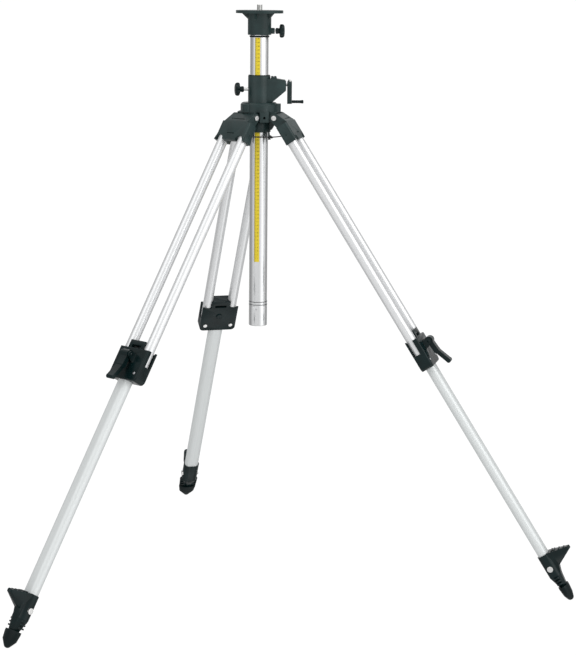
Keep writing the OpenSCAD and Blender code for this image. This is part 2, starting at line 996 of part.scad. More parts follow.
module crank_arm()
    color(black_paint) lifted()
    facing(gear_azimuth)
    translate([0, crank_y, crank_z])
    difference() {
        union() {
            hull() {
                rod_x(arm_r, arm_in, arm_in + arm_t, $fn = hull_fn);
                translate([0, 0, -crank_throw])
                rod_x(arm_grip_r, arm_in, arm_in + arm_t, $fn = hull_fn);
            }
            translate([0, 0, -crank_throw])
            rod_x(grip_pin_r, arm_in + arm_t - reach, arm_in + arm_t + grip_gap + grip_len - reach);
        }
        rod_x(shaft_r + seat_gap, arm_in - reach, arm_in + arm_t + reach);
        translate([arm_in + arm_t / 2, 0, shaft_r])
        cylinder(r = set_screw_r + seat_gap, h = arm_r);
        translate([arm_in - reach, -washer_r, arm_r - washer_t / 2])
        cube([arm_t + 2 * reach, 2 * washer_r, arm_r]);
    }

module crank_set_screw()
    color(zinc) lifted()
    facing(gear_azimuth)
    translate([arm_in + arm_t / 2, crank_y, crank_z])
    union() {
        translate([0, 0, shaft_r + seat_gap])
        cylinder(r = set_screw_r, h = arm_r);
        translate([0, 0, arm_r - washer_t / 2])
        cylinder(r = washer_r, h = washer_t);
        translate([0, 0, arm_r + washer_t / 2])
        cylinder(r = set_head_r, h = set_head_h);
    }

module crank_grip()
    color(black_plastic) lifted()
    facing(gear_azimuth)
    translate([arm_in + arm_t + grip_gap, crank_y, crank_z - crank_throw])
    rotate([0, 90, 0])
    difference() {
        union() {
            cylinder(r1 = grip_r, r2 = grip_end_r, h = grip_len - grip_end_r);
            translate([0, 0, grip_len - grip_end_r])
            cylinder(r1 = grip_end_r, r2 = grip_r, h = grip_end_r);
        }
        translate([0, 0, -reach])
        cylinder(r = grip_pin_r + run_gap, h = grip_len + 2 * reach);
    }

module pinion_shaft()
    color(steel) lifted()
    facing(gear_azimuth)
    translate([pinion_x, 0, crank_z])
    rotate([-90, 0, 0])
    union() {
        translate([0, 0, crank_y / 2])
        cylinder(r = pinion_shaft_r, h = pinion_shaft_len, center = true);
        rotate([0, 0, 180 + 180 / pinion_teeth])
        linear_extrude(height = pinion_w, center = true)
        polygon(gear_points(pinion_teeth, pinion_radii, pinion_halves));
    }

module bevel_gear()
    color(steel) lifted()
    facing(gear_azimuth)
    translate([pinion_x, crank_y, crank_z])
    rotate([90, 0, 0])
    difference() {
        union() {
            bevel_wheel(bevel_gear_teeth, bevel_gear_r, bevel_pinion_r);
            translate([0, 0, bevel_pinion_r])
            cylinder(r = bevel_back_r, h = crank_y - bevel_pinion_r - pinion_w / 2 - seat_gap);
        }
        cylinder(r = pinion_shaft_r + seat_gap, h = pinion_shaft_len);
    }

// Legs
// Outer face of the sloping hood at a place along the leg
function hood_x(along) =
    hood_out + (leg_offset + head_out - hood_out) * (hood_top + along) / (hood_top + elbow);

// Only the right and left heads have an eye, where the cord is tied
function eye_sides(i) = i == 0 ? [-1] : i == 2 ? [1] : [];

module leg_head(i)
    color(black_paint) on_leg(i)
    difference() {
        union() {
            translate([(head_out - head_in) / 2, 0, 0])
            box_bar(head_in + head_out, 2 * head_side, sleeve_corner, elbow, leg_head_len);
            for (s = [-1, 1])
                translate([leg_offset - flare_t / 2, 0, 0])
                rotate([90, 0, 90])
                linear_extrude(height = flare_t)
                polygon([
                    [s * (head_side - flare_in), -elbow - flare_top],
                    [s * (head_side + flare_out), -leg_head_len],
                    [s * (head_side - flare_in), -leg_head_len]
                ]);
            for (s = [-1, 1])
                translate([0, s * (ear_in + ear_out) / 2, 0])
                union() {
                    rod_y(ear_r, ear_t);
                    plate_xz([
                        [-ear_r, 0],
                        [leg_offset - head_in, -elbow - reach],
                        [leg_offset + head_out - reach, -elbow - reach],
                        [hood_out, hood_top - reach],
                        [0, hood_top - reach]
                    ], ear_t);
                }
            hull() {
                block([hood_out - hood_t, -ear_out, hood_top - hood_t], [hood_out, ear_out, hood_top]);
                block(
                    [leg_offset + head_out - hood_t, -head_side + hood_edge, -elbow - hood_t],
                    [leg_offset + head_out, head_side - hood_edge, -elbow]
                );
            }
            for (s = eye_sides(i))
                translate([leg_offset - head_in + reach, s * eye_y, -eye_along])
                rod_y(eye_r, eye_len);
        }
        for (s = [-1, 1])
            tube_rod(s, tube_r + seat_gap, tube_top, leg_head_len + reach);
        rod_y(hinge_bolt_r + seat_gap, 2 * ear_out + 2 * reach);
        block(
            [leg_offset - 2 * head_in, -hollow_half, -leg_head_len - reach],
            [leg_offset + web_in, hollow_half, -elbow + reach]
        );
        for (s = [-1, 1])
            translate([leg_offset, s * tube_spacing / 2, -leg_head_len])
            rod_x(arch_r, web_in, 2 * head_out);
        block(
            [hood_x(groove_along) - groove_depth, -groove_w / 2, -groove_along - groove_tall],
            [leg_offset + head_out + reach, groove_w / 2, -groove_along]
        );
        block(
            [leg_offset + head_out - slot_depth, -slot_w / 2, -slot_along - slot_h],
            [leg_offset + head_out + reach, slot_w / 2, -slot_along]
        );
        for (s = [-1, 1])
            translate([leg_offset, s * head_side, -side_hole_along])
            rod_y(side_hole_r, 2 * sleeve_wall + reach);
    }

module upper_tubes(i)
    color(aluminium) on_leg(i)
    for (s = [-1, 1])
        difference() {
            tube_rod(s, tube_r, tube_top, tube_end);
            tube_rod(s, tube_r - tube_wall, tube_top - reach, tube_end + reach);
            clamp_screw_places(s)
            rod_x(clamp_screw_r + seat_gap, -block_in, 0);
        }

// Each clamp screw enters its tube from the inner face of the block
module clamp_screw_places(s)
    translate([leg_offset, s * clamp_screw_y, -clamp_bottom + clamp_screw_up])
    children();

module leg_fasteners(i)
    color(zinc) on_leg(i)
    union() {
        rod_y(hinge_bolt_r, 2 * ear_out);
        for (s = [-1, 1])
            translate([0, s * (ear_out + bolt_head_t / 2), 0])
            rod_y(bolt_head_r, bolt_head_t);
        translate([leg_offset + pin_out, 0, -pin_along])
        rod_y(pin_r, lever_w + 2 * lever_gap + 2 * lever_ear_t);
        for (s = [-1, 1])
            clamp_screw_places(s)
            union() {
                rod_x(clamp_head_r, -block_in - clamp_head_t, -block_in);
                rod_x(clamp_screw_r, -block_in - reach, -tube_r + 2 * tube_wall);
            }
    }

module clamp_block(i)
    color(black_plastic) on_leg(i)
    difference() {
        union() {
            block(
                [leg_offset - block_in, -block_side, -clamp_bottom + block_corner],
                [leg_offset + block_out, block_side, -clamp_top]
            );
            block(
                [leg_offset - block_in, -block_side + block_corner, -clamp_bottom],
                [leg_offset + block_out, block_side - block_corner, -clamp_top]
            );
            for (s = [-1, 1])
                translate([leg_offset, s * (block_side - block_corner), -clamp_bottom + block_corner])
                rod_x(block_corner, -block_in, block_out);
            for (s = [-1, 1])
                translate([leg_offset - block_in, s * (block_side - wing_w / 2), 0])
                block([0, -wing_w / 2, -clamp_top - reach], [wing_t, wing_w / 2, -clamp_top + wing_up]);
            for (s = [-1, 1])
                translate([0, s * (lever_half + lever_gap + lever_ear_t / 2), 0])
                union() {
                    translate([leg_offset + pin_out, 0, -pin_along])
                    rod_y(lever_ear_r, lever_ear_t);
                    plate_xz([
                        [leg_offset + block_out - reach, -pin_along + lever_ear_r],
                        [leg_offset + pin_out, -pin_along + lever_ear_r],
                        [leg_offset + pin_out, -pin_along - lever_ear_r],
                        [leg_offset + block_out - reach, -pin_along - lever_ear_r * 2]
                    ], lever_ear_t);
                }
            translate([leg_offset - block_in, 0, -clamp_bottom + badge_up])
            rod_x(badge_r, -badge_t, reach);
        }
        oval_bar(lower_t + 2 * bore_gap, lower_w + 2 * bore_gap, clamp_top - reach, clamp_bottom + reach);
        for (s = [-1, 1])
            tube_rod(s, tube_r + seat_gap, clamp_top - reach, tube_end);
        for (s = [-1, 1])
            translate([leg_offset, s * (window_y + tube_r), 0])
            block(
                [-window_inner, -tube_r, -clamp_top - window_low],
                [window_outer, tube_r, -clamp_top + reach]
            );
        for (s = [-1, 1])
            clamp_screw_places(s)
            rod_x(clamp_screw_r + seat_gap, -block_in - reach, 0);
        translate([leg_offset + pin_out, 0, -pin_along])
        rod_y(pin_r + seat_gap, lever_w + 2 * lever_gap + 2 * lever_ear_t + reach);
        block(
            [leg_offset, -shoe_w / 2 - slide_gap, -pin_along - shoe_h / 2 - slide_gap],
            [leg_offset + pin_out, shoe_w / 2 + slide_gap, -pin_along + shoe_h / 2 + slide_gap]
        );
        translate([leg_offset + pin_out - drum_shift, 0, -pin_along])
        rod_y(drum_r + 2 * drum_shift, lever_w + lever_gap);
    }

module clamp_lever(i)
    color(black_plastic) on_leg(i)
    translate([leg_offset + pin_out, 0, -pin_along])
    difference() {
        union() {
            translate([-drum_shift, 0, 0])
            rod_y(drum_r, lever_w);
            round_bar([0, 0], lever_knee, lever_root_r, lever_w - reach);
            round_bar(lever_knee, lever_tip, lever_end_r, lever_w - 2 * reach);
        }
        rod_y(pin_r + run_gap, lever_w + 2 * reach);
    }

module brake_shoe(i)
    color(rubber) on_leg(i)
    translate([0, 0, -pin_along])
    block(
        [leg_offset + lower_t / 2 + slide_gap, -shoe_w / 2, -shoe_h / 2],
        [leg_offset + pin_out - drum_r - drum_shift - shoe_gap, shoe_w / 2, shoe_h / 2]
    );

module leg_guide(i)
    color(black_plastic) on_leg(i)
    difference() {
        union() {
            block(
                [leg_offset - guide_half, -guide_wing_w / 2, -clamp_top],
                [leg_offset + guide_half, guide_wing_w / 2, -clamp_top + guide_h]
            );
            oval_bar(lower_t - 2 * tube_wall - 2 * seat_gap, lower_w - 2 * tube_wall - 2 * seat_gap,
                clamp_top - reach, clamp_top + plug_len);
        }
        for (s = [-1, 1])
            tube_rod(s, tube_r + guide_gap, clamp_top - guide_h - reach, clamp_top + reach);
        for (s = [-1, 1])
            block(
                [leg_offset - guide_wing_in, s * guide_wing_w / 2 - guide_leg, -clamp_top - reach],
                [leg_offset + guide_wing_in, s * guide_wing_w / 2 + guide_leg, -clamp_top + guide_h + reach]
            );
        block(
            [leg_offset - guide_half - reach, -guide_open, -clamp_top + reach],
            [leg_offset + guide_half + reach, guide_open, -clamp_top + guide_h - guide_bar]
        );
        oval_bar(lower_t - 2 * tube_wall - 2 * plug_wall, lower_w - 2 * tube_wall - 2 * plug_wall,
            clamp_top + plug_wall, clamp_top + plug_len + reach);
    }

module lower_tube(i)
    color(aluminium) on_leg(i)
    difference() {
        oval_bar(lower_t, lower_w, lower_top, foot_top + foot_socket - foot_floor);
        oval_bar(lower_t - 2 * tube_wall, lower_w - 2 * tube_wall, lower_top - reach, foot_top + foot_socket);
        foot_bolt_place()
        rod_y(foot_bolt_r + seat_gap, boot_w);
    }

module foot_bolt_place()
    translate([leg_offset, 0, -foot_top - foot_bolt_along])
    children();

// The lug's top edge falls away from the leg
function tread_point(out, down) = [leg_offset + out, -foot_top - down - tread_drop * out / tread_reach];

function tread_top(out) = tread_point(out, -tread_rise * (1 - out / tread_reach));

// Places a piece on the lug's top edge
module on_tread(out)
    translate([tread_top(out).x, 0, tread_top(out).y])
    children();

module foot(i)
    color(black_plastic) on_leg(i)
    difference() {
        union() {
            oval_bar(lower_t + 2 * foot_wall, lower_w + 2 * foot_wall, foot_top, foot_top + foot_socket);
            hull() {
                translate([leg_offset, 0, -foot_top - foot_socket])
                linear_extrude(height = reach)
                oval(lower_t + 2 * foot_wall, lower_w + 2 * foot_wall, $fn = hull_fn);
                translate([boot_axis, 0, -boot_top + slide_gap])
                linear_extrude(height = reach)
                oval(neck_t, neck_w, $fn = hull_fn);
            }
            translate([boot_shift, 0, 0])
            oval_bar(neck_plug_t, neck_plug_w, boot_top - reach, foot_top + foot_socket + neck_len);
            for (k = [0:2])
                translate([boot_shift / 2, 0, 0])
                oval_bar(foot_rib_t, foot_rib_w - k * reach, foot_top + foot_rib_first + k * foot_rib_step,
                    foot_top + foot_rib_first + k * foot_rib_step + foot_rib_h);
            hull() {
                plate_xz([
                    tread_top(tread_root_in), tread_top(tread_root_out),
                    tread_point(tread_root_out, tread_t), tread_point(tread_root_in, tread_t)
                ], tread_w);
                on_tread(tread_reach - tread_tip_r)
                translate([0, 0, -tread_t])
                cylinder(r = tread_tip_r, h = tread_t, $fn = hull_fn);
                plate_xz([
                    tread_point(tread_root_in, tread_t), tread_point(tread_foot_out, tread_foot - reach),
                    tread_point(tread_foot_out, tread_foot), tread_point(tread_root_in, tread_foot)
                ], tread_root_w);
            }
            plate_xz([
                tread_point(0, ridge_top), tread_point(ridge_out, ridge_top),
                tread_point(ridge_out, tread_foot), tread_point(ridge_low_out, ridge_low),
                tread_point(0, ridge_low)
            ], ridge_w);
            for (k = [0:tread_rib_count - 1])
                on_tread(tread_reach - tread_tip_r - k * tread_rib_step)
                rod_y(tread_rib_r, tread_rib_w);
        }
        oval_bar(lower_t + 2 * seat_gap, lower_w + 2 * seat_gap, foot_top - reach - tread_rib_r * 2,
            foot_top + foot_socket - foot_floor);
        foot_bolt_place()
        union() {
            rod_y(foot_bolt_r + seat_gap, boot_w * 2);
            for (s = [-1, 1])
                translate([0, s * (foot_face + foot_rib_w / 2), 0])
                rod_y(foot_bolt_head_r + seat_gap, foot_rib_w);
        }
        translate([boot_axis, 0, -foot_top - foot_socket - neck_len - reach])
        cylinder(r = spike_r + seat_gap, h = neck_len);
    }

module foot_hardware(i)
    color(zinc) on_leg(i)
    union() {
        translate([boot_axis, 0, -foot_top - foot_socket - neck_len - spike_len])
        cylinder(r1 = spike_tip_r, r2 = spike_r, h = spike_len - boot_lip);
        translate([boot_axis, 0, -foot_top - foot_socket - neck_len - boot_lip])
        cylinder(r = spike_r, h = boot_lip + neck_len - 2 * reach);
        foot_bolt_place()
        union() {
            rod_y(foot_bolt_r, 2 * foot_face);
            for (s = [-1, 1])
                translate([0, s * (foot_face + foot_bolt_head_t / 2), 0])
                rod_y(foot_bolt_head_r, foot_bolt_head_t);
        }
    }

module foot_boot(i)
    color(rubber) on_leg(i)
    difference() {
        hull() {
            translate([boot_axis, 0, -leg_len + boot_len - boot_lip])
            linear_extrude(height = boot_lip)
            scale([boot_t / boot_w, 1])
            circle(d = boot_w, $fn = hull_fn);
            translate([boot_axis, 0, -leg_len + boot_mid])
            linear_extrude(height = reach)
            scale([boot_t / boot_w, 1])
            circle(d = boot_w * boot_mid_share, $fn = hull_fn);
            translate([boot_axis, 0, -tip_along])
            sphere(r = tip_r, $fn = hull_fn);
        }
        translate([boot_axis, 0, -foot_top - foot_socket - neck_len - spike_len - reach])
        cylinder(r = spike_r + slide_gap, h = leg_len);
        translate([boot_shift, 0, 0])
        oval_bar(
            neck_plug_t + 2 * slide_gap, neck_plug_w + 2 * slide_gap,
            foot_top, foot_top + foot_socket + neck_len + slide_gap
        );
    }

// The spreader cord runs between the eyes of the left and right leg heads
function leg_to_world(i, p) =
    let (
        x = hinge_r + p.x * cos(leg_angle) - p.z * sin(leg_angle),
        z = hinge_z + p.x * sin(leg_angle) + p.z * cos(leg_angle)
    )
    [x * cos(azimuths[i]) - p.y * sin(azimuths[i]), x * sin(azimuths[i]) + p.y * cos(azimuths[i]), z];

function eye_point(i, s) =
    leg_to_world(i, [leg_offset - head_in - eye_r - cord_gap, s * eye_y, -eye_along]);

// Bar of round section between two points
module bar(a, b, r)
    let (d = b - a, h = norm(d))
    translate(a)
    rotate([0, acos(d.z / h), atan2(d.y, d.x)])
    cylinder(r = r, h = h);

module spreader_cord()
    color(rubber)
    let (
        a = eye_point(2, 1),
        b = eye_point(0, -1),
        way = (b - a) / norm(b - a),
        knot = a + (b - a) * (1 - knot_share)
    )
    union() {
        bar(a, b, cord_r);
        bar(knot - way * knot_half, knot + way * knot_half, knot_r);
    }

head_plate();
head_stud();
head_knob();
head_screw();
column_tube();
column_scale();
column_rack();
column_end();
column_ring();
hub();
gear_cover();
gear_cover_screws();
column_bushes();
shaft_bush();
clamp_knob();
clamp_screw();
clamp_pad();
crank_shaft();
crank_arm();
crank_set_screw();
crank_grip();
pinion_shaft();
bevel_gear();
for (i = [0:2]) {
    leg_head(i);
    upper_tubes(i);
    leg_fasteners(i);
    clamp_block(i);
    clamp_lever(i);
    brake_shoe(i);
    leg_guide(i);
    lower_tube(i);
    foot(i);
    foot_hardware(i);
    foot_boot(i);
}
spreader_cord();
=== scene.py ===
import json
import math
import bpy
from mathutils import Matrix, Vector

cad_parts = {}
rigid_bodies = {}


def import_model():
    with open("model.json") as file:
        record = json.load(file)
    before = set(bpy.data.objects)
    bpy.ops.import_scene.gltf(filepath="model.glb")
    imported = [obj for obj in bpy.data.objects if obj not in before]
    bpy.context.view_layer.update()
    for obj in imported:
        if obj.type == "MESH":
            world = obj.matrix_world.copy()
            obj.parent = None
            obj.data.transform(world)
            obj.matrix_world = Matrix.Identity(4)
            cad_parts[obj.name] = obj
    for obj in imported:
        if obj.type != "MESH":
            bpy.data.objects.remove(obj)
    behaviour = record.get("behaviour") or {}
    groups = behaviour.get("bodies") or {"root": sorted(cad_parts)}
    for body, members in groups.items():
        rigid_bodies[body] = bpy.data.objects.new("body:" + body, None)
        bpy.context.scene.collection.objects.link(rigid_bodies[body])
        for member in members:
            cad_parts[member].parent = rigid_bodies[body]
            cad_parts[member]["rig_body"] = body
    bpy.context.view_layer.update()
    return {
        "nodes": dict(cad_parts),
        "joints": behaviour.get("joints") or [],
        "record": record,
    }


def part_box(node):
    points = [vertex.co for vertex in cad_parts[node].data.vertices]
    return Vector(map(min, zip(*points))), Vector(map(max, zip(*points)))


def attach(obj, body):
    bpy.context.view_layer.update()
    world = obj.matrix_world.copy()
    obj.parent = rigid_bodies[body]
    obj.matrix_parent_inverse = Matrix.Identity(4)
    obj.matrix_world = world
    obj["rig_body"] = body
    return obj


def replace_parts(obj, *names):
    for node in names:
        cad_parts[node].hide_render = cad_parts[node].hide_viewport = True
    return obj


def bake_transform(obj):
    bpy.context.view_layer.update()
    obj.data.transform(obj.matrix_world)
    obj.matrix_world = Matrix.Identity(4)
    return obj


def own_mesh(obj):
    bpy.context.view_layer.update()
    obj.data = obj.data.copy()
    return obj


bl_info = {
    "name": "Elevating Tripod",
    "version": (1, 0, 0),
    "blender": (4, 5, 0),
    "location": "View3D > Sidebar > Tripod",
    "description": "Dresses the packed elevating tripod: castings, tubes, scale, cord and studio",
    "category": "Object",
}

import bmesh
import bpy
from bpy.props import FloatProperty, FloatVectorProperty, IntProperty, PointerProperty
from mathutils import Matrix, Vector

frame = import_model()
NODES = frame["nodes"]
JOINTS = {joint["name"]: joint for joint in frame["joints"]}
SLOTS = {part["node"]: part["material_slot"] for part in frame["record"]["subparts"]}
SIDES = ("right", "rear", "left")
MM = 0.001

# Sizes and places are in millimetres unless a heading says otherwise, and bolts have a radius and a height.
# Places on a leg are in leg coordinates: x outward, y along the hinge, z up the leg.

# Head
STUD_R = 7.9375
STUD_FLANGE_R = 14
STUD_FLANGE_H = 4.2
STUD_SHOULDER = 0.2
STUD_OVERLAP = 0.3
THREAD_START = 0.5

# Knobs: joint, start of the knob along its axis, piece, body and node that it stands for
KNOBS = (
    ("head_clamp_turn", -7, "head_clamp_knob", "head_clamp", "head_knob"),
    ("column_clamp_turn", -8, "column_clamp_knob", "column_clamp", "clamp_knob"),
)

# Outline of a knob: its stem by radius and height, its cap by distance from the rim and height
KNOB_STEM = ((0, 0), (6.6, 0), (7.6, 0.7), (8, 1.8), (8, 6), (7.2, 8), (7.6, 9.6), (10, 10.3))
KNOB_CAP = ((3.2, 10.9), (1.0, 12.2), (0, 14.6), (0, 18), (0.9, 21), (3, 23), (7, 24.2))
KNOB_TOP_R = 4
KNOB_TOP = 24.6
KNOB_STEPS = 96
KNOB_CAP_LOW = 9.7
DIP_START_R = 8.4
DIP_REACH_POWER = 1.5
DIP_TURN_POWER = 1.4

# Column and its scale tape, whose marks have a step, a width and a length
COLUMN_R = 25.0
# Two dark rings in the grooves of the end sleeve are painted shade of those grooves: their heights, their
# outline by distance out and height, and their steps
SHADE_RING_HEIGHTS = (66.5, 58.5)
SHADE_RING_OUTLINE = (
    (-0.6, -0.9), (0, -0.9), (0.18, -0.5), (0.18, 0.5), (0, 0.9), (-0.6, 0.9), (-0.6, -0.9))
SHADE_RING_STEPS = 64
END_SCREW = (2.6, 1.2)
END_SCREW_HEIGHT = 46.5
END_SCREW_SUNK = 0.9
SCALE_AZIMUTH = math.radians(-101)
SCALE_HALF = 6.8
SCALE_MARKS = ((1, 0.3, 2.6), (5, 0.34, 4.0), (10, 0.5, 5.6))
NUMBER_SIZE = 5.2
NUMBER_THICK = 0.03
NUMBER_PROUD = 0.02
NUMBER_ASIDE = 2.6
CENTIMETRE = 10

# Crank grip: radius and height at its ends, finger rings and swell by shares of its length
GRIP_BORE_R = 2.55
GRIP_START = ((3.6, 0), (4.2, 0.5), (4.2, 2))
GRIP_RING_SHARES = (0.22, 0.42, 0.62)
GRIP_RING_HALF = 1.4
GRIP_WAIST_R = 3.95
GRIP_RING_R = 4.35
GRIP_SWELL_SHARES = ((4.1, 0.76), (4.85, 0.86), (4.9, 0.92))
GRIP_END = ((4.3, 0.8), (3.4, 0))
GRIP_STEPS = 40

# Legs
LEG_OFFSET = 8
EAR_OUT = 40
HINGE_BOLT = (6.7, 4.4)
SIDE_SCREW = (2.3, 1)
SIDE_SCREW_PLACE = Vector((LEG_OFFSET, 51.05, -56))

# Leg clamps
CLAMP_FRONT = 27.5
CLAMP_SIDE = 53.75
CLAMP_BOTTOM = 786
CLAMP_TURN = 12
CLAMP_CORNER = 4.6
CLAMP_NEAR = 0.1
CLAMP_SCREW = (5.6, 3.4)
CLAMP_SCREW_PLACE = Vector((-7.5, 38.5, -765.5))
SCREW_END = (3.9, 1.8)
SCREW_END_SUNK = 0.2
SCREW_END_PLACE = Vector((CLAMP_FRONT - SCREW_END_SUNK, CLAMP_SCREW_PLACE.y, CLAMP_SCREW_PLACE.z))
BOSS_PLACE = Vector((-7.5, 0, -732))
BOSS_OUTLINE = (
    (0, 1.6), (1.8, 1.6), (2.3, 2.0), (5.6, 2.0), (6.3, 2.8), (8.4, 2.8), (9.3, 2.2), (9.6, 1.2),
    (9.6, 0.05), (0, 0.05))
BOSS_STEPS = 64
LEVER_PIN_PLACE = Vector((43.5, 19.4, -723))
PIN_CAP_OUTLINE = ((0, 1.2), (1.6, 1.1), (3.0, 0.7), (3.7, 0), (3.7, -0.4), (0, -0.4))
PIN_CAP_STEPS = 32

# Feet: grip bars by their distance out and their length, the round of their ends by shares of the radius
FOOT_TOP = 1378
FOOT_BOLT = (8.1, 3.9)
FOOT_BOLT_PLACE = Vector((LEG_OFFSET, 23.3, -1419))
TREAD_REACH = 74
TREAD_DROP = 13
TREAD_RISE = 3
TREAD_BAR_R = 2.6
TREAD_BAR_UP = 0.8
TREAD_BARS = ((25, 33), (31.5, 31), (44.5, 27), (57.5, 23), (70.5, 10))
TREAD_END_SHARES = ((0, 0), (0.6, 0.2), (1, 1))
TREAD_BAR_STEPS = 20

# Spreader cord: its ends and the spread of its knot in metres, the rest in millimetres
CORD_LEFT = Vector((-31.7585, -65.6996, 1230.5913)) * MM
CORD_RIGHT = Vector((60.3535, -41.0183, 1230.5913)) * MM
CORD_STEPS = 24
CORD_BOW = 1.4
EYE_PLACE = Vector((-6.5, 24, -50))
LOOP_R = 5.2
LOOP_SIDES = 12
LOOP_STEPS = 40
KNOT_SHARE = 0.68
KNOT_STEPS = 60
KNOT_SPREAD = Vector((1.2, 1.1, 2.1)) * MM
KNOT_CORD_SHARE = 0.85

# Rounding on the edges of the smaller pieces, in metres
FINE_EDGE = 0.3 * MM
SCREW_EDGE = 0.4 * MM
SET_SCREW_EDGE = 0.5 * MM
SHOE_EDGE = 0.5 * MM
GUIDE_EDGE = 0.6 * MM
LEVER_EDGE = 2.2 * MM

# Camera: focal length and picture width in pixels, place and end of view in metres, turns in degrees
PICTURE_WIDTH = 576
FOCAL_LENGTH = 1944
SENSOR_WIDTH = 36.0
VIEW_END = 500
CAMERA_PLACE = Vector((-0.014, -5.255, 1.644))
CAMERA_TURN = (1.055, 10.152, -0.48)

# Lamps and floor, in metres
LAMP_SIZE = 2.8
KEY_PLACE = (3.5, -3.0, 3.2)
FILL_PLACE = (-3.2, -3.2, 2.8)
LAMP_AIM = Vector((0, 0, 0.85))
FLOOR_HALF = 300
FLOOR_DROP = 0.0004
FLOOR_GREY = (0.9, 0.9, 0.9, 1)
WHITE = (1, 1, 1, 1)

# Studio that metal reflects: degrees from the camera's side, right hand positive, and brightness there
STUDIO_LEVEL = 1.3
STUDIO = (
    (-180, 0.8), (-150, 0.5), (-118, 0.28), (-96, 0.36), (-78, 0.62), (-60, 0.74), (20, 0.72),
    (38, 1.05), (54, 1.3), (70, 1.2), (86, 0.85), (100, 0.45), (124, 0.28), (150, 0.5), (180, 0.8),
)

# Grey ceiling between two heights of a unit direction, soft boxes by turn, rise and gain, angles in degrees
CEILING_LOW, CEILING_HIGH = 0.45, 0.9
CEILING_GREY = (0.8, 0.8, 0.8, 1)
SOFT_BOXES = ((52, 40, 1.8), (-48, 36, 1.0))
SOFT_BOX_INNER, SOFT_BOX_OUTER = 8, 30


class TripodSizes(bpy.types.PropertyGroup):
    """Small sizes of the dressed tripod"""

    casting_edge: FloatProperty(
        name="Casting Edge", description="Rounding on the edges of the castings",
        default=0.0009, unit="LENGTH")
    plastic_edge: FloatProperty(
        name="Plastic Edge", description="Rounding on the edges of the moulded pieces",
        default=0.0012, unit="LENGTH")
    knob_radius: FloatProperty(
        name="Knob Radius", description="Radius over the lobes of a clamp knob",
        default=0.018, unit="LENGTH")
    knob_dip: FloatProperty(
        name="Knob Dip", description="Depth of the finger dips of a clamp knob",
        default=0.0036, unit="LENGTH")
    knob_lobes: IntProperty(
        name="Knob Lobes", description="Number of lobes on a clamp knob", default=6)
    thread_pitch: FloatProperty(
        name="Thread Pitch", description="Pitch of the fixing stud, eleven threads to the inch",
        default=0.0023091, unit="LENGTH")
    cord_radius: FloatProperty(
        name="Cord Radius", description="Radius of the spreader cord", default=0.0015, unit="LENGTH")
    cord_sag: FloatProperty(
        name="Cord Sag", description="Sag of the spreader cord", default=0.002, unit="LENGTH")
    number_step: IntProperty(
        name="Number Step", description="Millimetres between the numbers on the scale", default=10)


class TripodColours(bpy.types.PropertyGroup):
    """Colours of the finishes"""

    coat: FloatVectorProperty(
        name="Coat", description="Satin black coating of the castings",
        subtype="COLOR", default=(0.015, 0.032, 0.032))
    plastic: FloatVectorProperty(
        name="Plastic", description="Moulded black plastic",
        subtype="COLOR", default=(0.003, 0.0115, 0.0125))
    rubber: FloatVectorProperty(
        name="Rubber", description="Moulded black rubber",
        subtype="COLOR", default=(0.003, 0.0085, 0.009))
    aluminium: FloatVectorProperty(
        name="Aluminium", description="Satin anodised tube",
        subtype="COLOR", default=(0.85, 0.86, 0.87))
    anodised: FloatVectorProperty(
        name="Anodised", description="Matt anodised lower tube",
        subtype="COLOR", default=(0.78, 0.81, 0.81))
    zinc: FloatVectorProperty(
        name="Zinc", description="Bright plated fasteners",
        subtype="COLOR", default=(0.83, 0.83, 0.82))
    steel: FloatVectorProperty(
        name="Steel", description="Machined steel of rack and gears",
        subtype="COLOR", default=(0.45, 0.46, 0.47))
    brass: FloatVectorProperty(
        name="Brass", description="Plain turned bush",
        subtype="COLOR", default=(0.62, 0.45, 0.18))
    scale: FloatVectorProperty(
        name="Scale", description="Printed scale tape",
        subtype="COLOR", default=(0.86, 0.67, 0.03))
    ink: FloatVectorProperty(
        name="Ink", description="Numbers on the scale tape",
        subtype="COLOR", default=(0.012, 0.012, 0.012))
    cord: FloatVectorProperty(
        name="Cord", description="Braided cord", subtype="COLOR", default=(0.012, 0.012, 0.013))


class TripodLight(bpy.types.PropertyGroup):
    """Levels of the studio light"""

    ambient: FloatProperty(name="Ambient", description="Level of the soft surround", default=0.6)
    key: FloatProperty(
        name="Key", description="Power of the large front lamp", default=80.0, unit="POWER")
    fill: FloatProperty(
        name="Fill", description="Power of the side lamp", default=40.0, unit="POWER")
    floor_glow: FloatProperty(
        name="Floor Glow", description="Share of plain white in the floor", default=0.86,
        subtype="FACTOR")
    floor_level: FloatProperty(
        name="Floor Level", description="Brightness of the white that the camera sees", default=1.12)


# Finishes

FINISHES = {}

# Part of a noise's range that carries a drift, and how far a roughness drifts
DRIFT_LOW, DRIFT_HIGH = 0.3, 0.7
ROUGH_LESS, ROUGH_MORE = 0.05, 0.06

# Darkest and lightest shade of each kind of finish, as shares of its colour
GRAINED_SHARES = (0.8, 1.25)
DRAWN_SHARES = (0.97, 1.02)
PLATED_SHARES = (0.9, 1.06)
TAPE_SHARES = (0.94, 1.05)
BRAID_SHARES = (0.7, 2.2)

# Scales of the clouds over a surface, sizes of marks and reliefs in metres
CLOUD_SCALE = 28
GLOSS_SCALE = 120
TAPE_SCALE = 40
TAPE_ROUGH = (0.36, 0.44)
MARK_BLACK = (0.01, 0.01, 0.01, 1)
GRAIN_DEPTH = 0.0003
DRAWN_MARK = (0.0032, 0.0032, 0.5)
BRAID_TURN = Vector((0.5, 0.6, 0.7))
BRAID_SCALE = 180.0
BRAID_WANDER = 0.4
BRAID_STRENGTH = 0.6
BRAID_DEPTH = 0.0004
BRAID_ROUGH = 0.85
BRAID_SHEEN = 0.2

# Colour sockets of a mix node, by number because its other sockets share their names
MIX_SHARE, MIX_FIRST, MIX_SECOND, MIX_RESULT = 0, 6, 7, 2


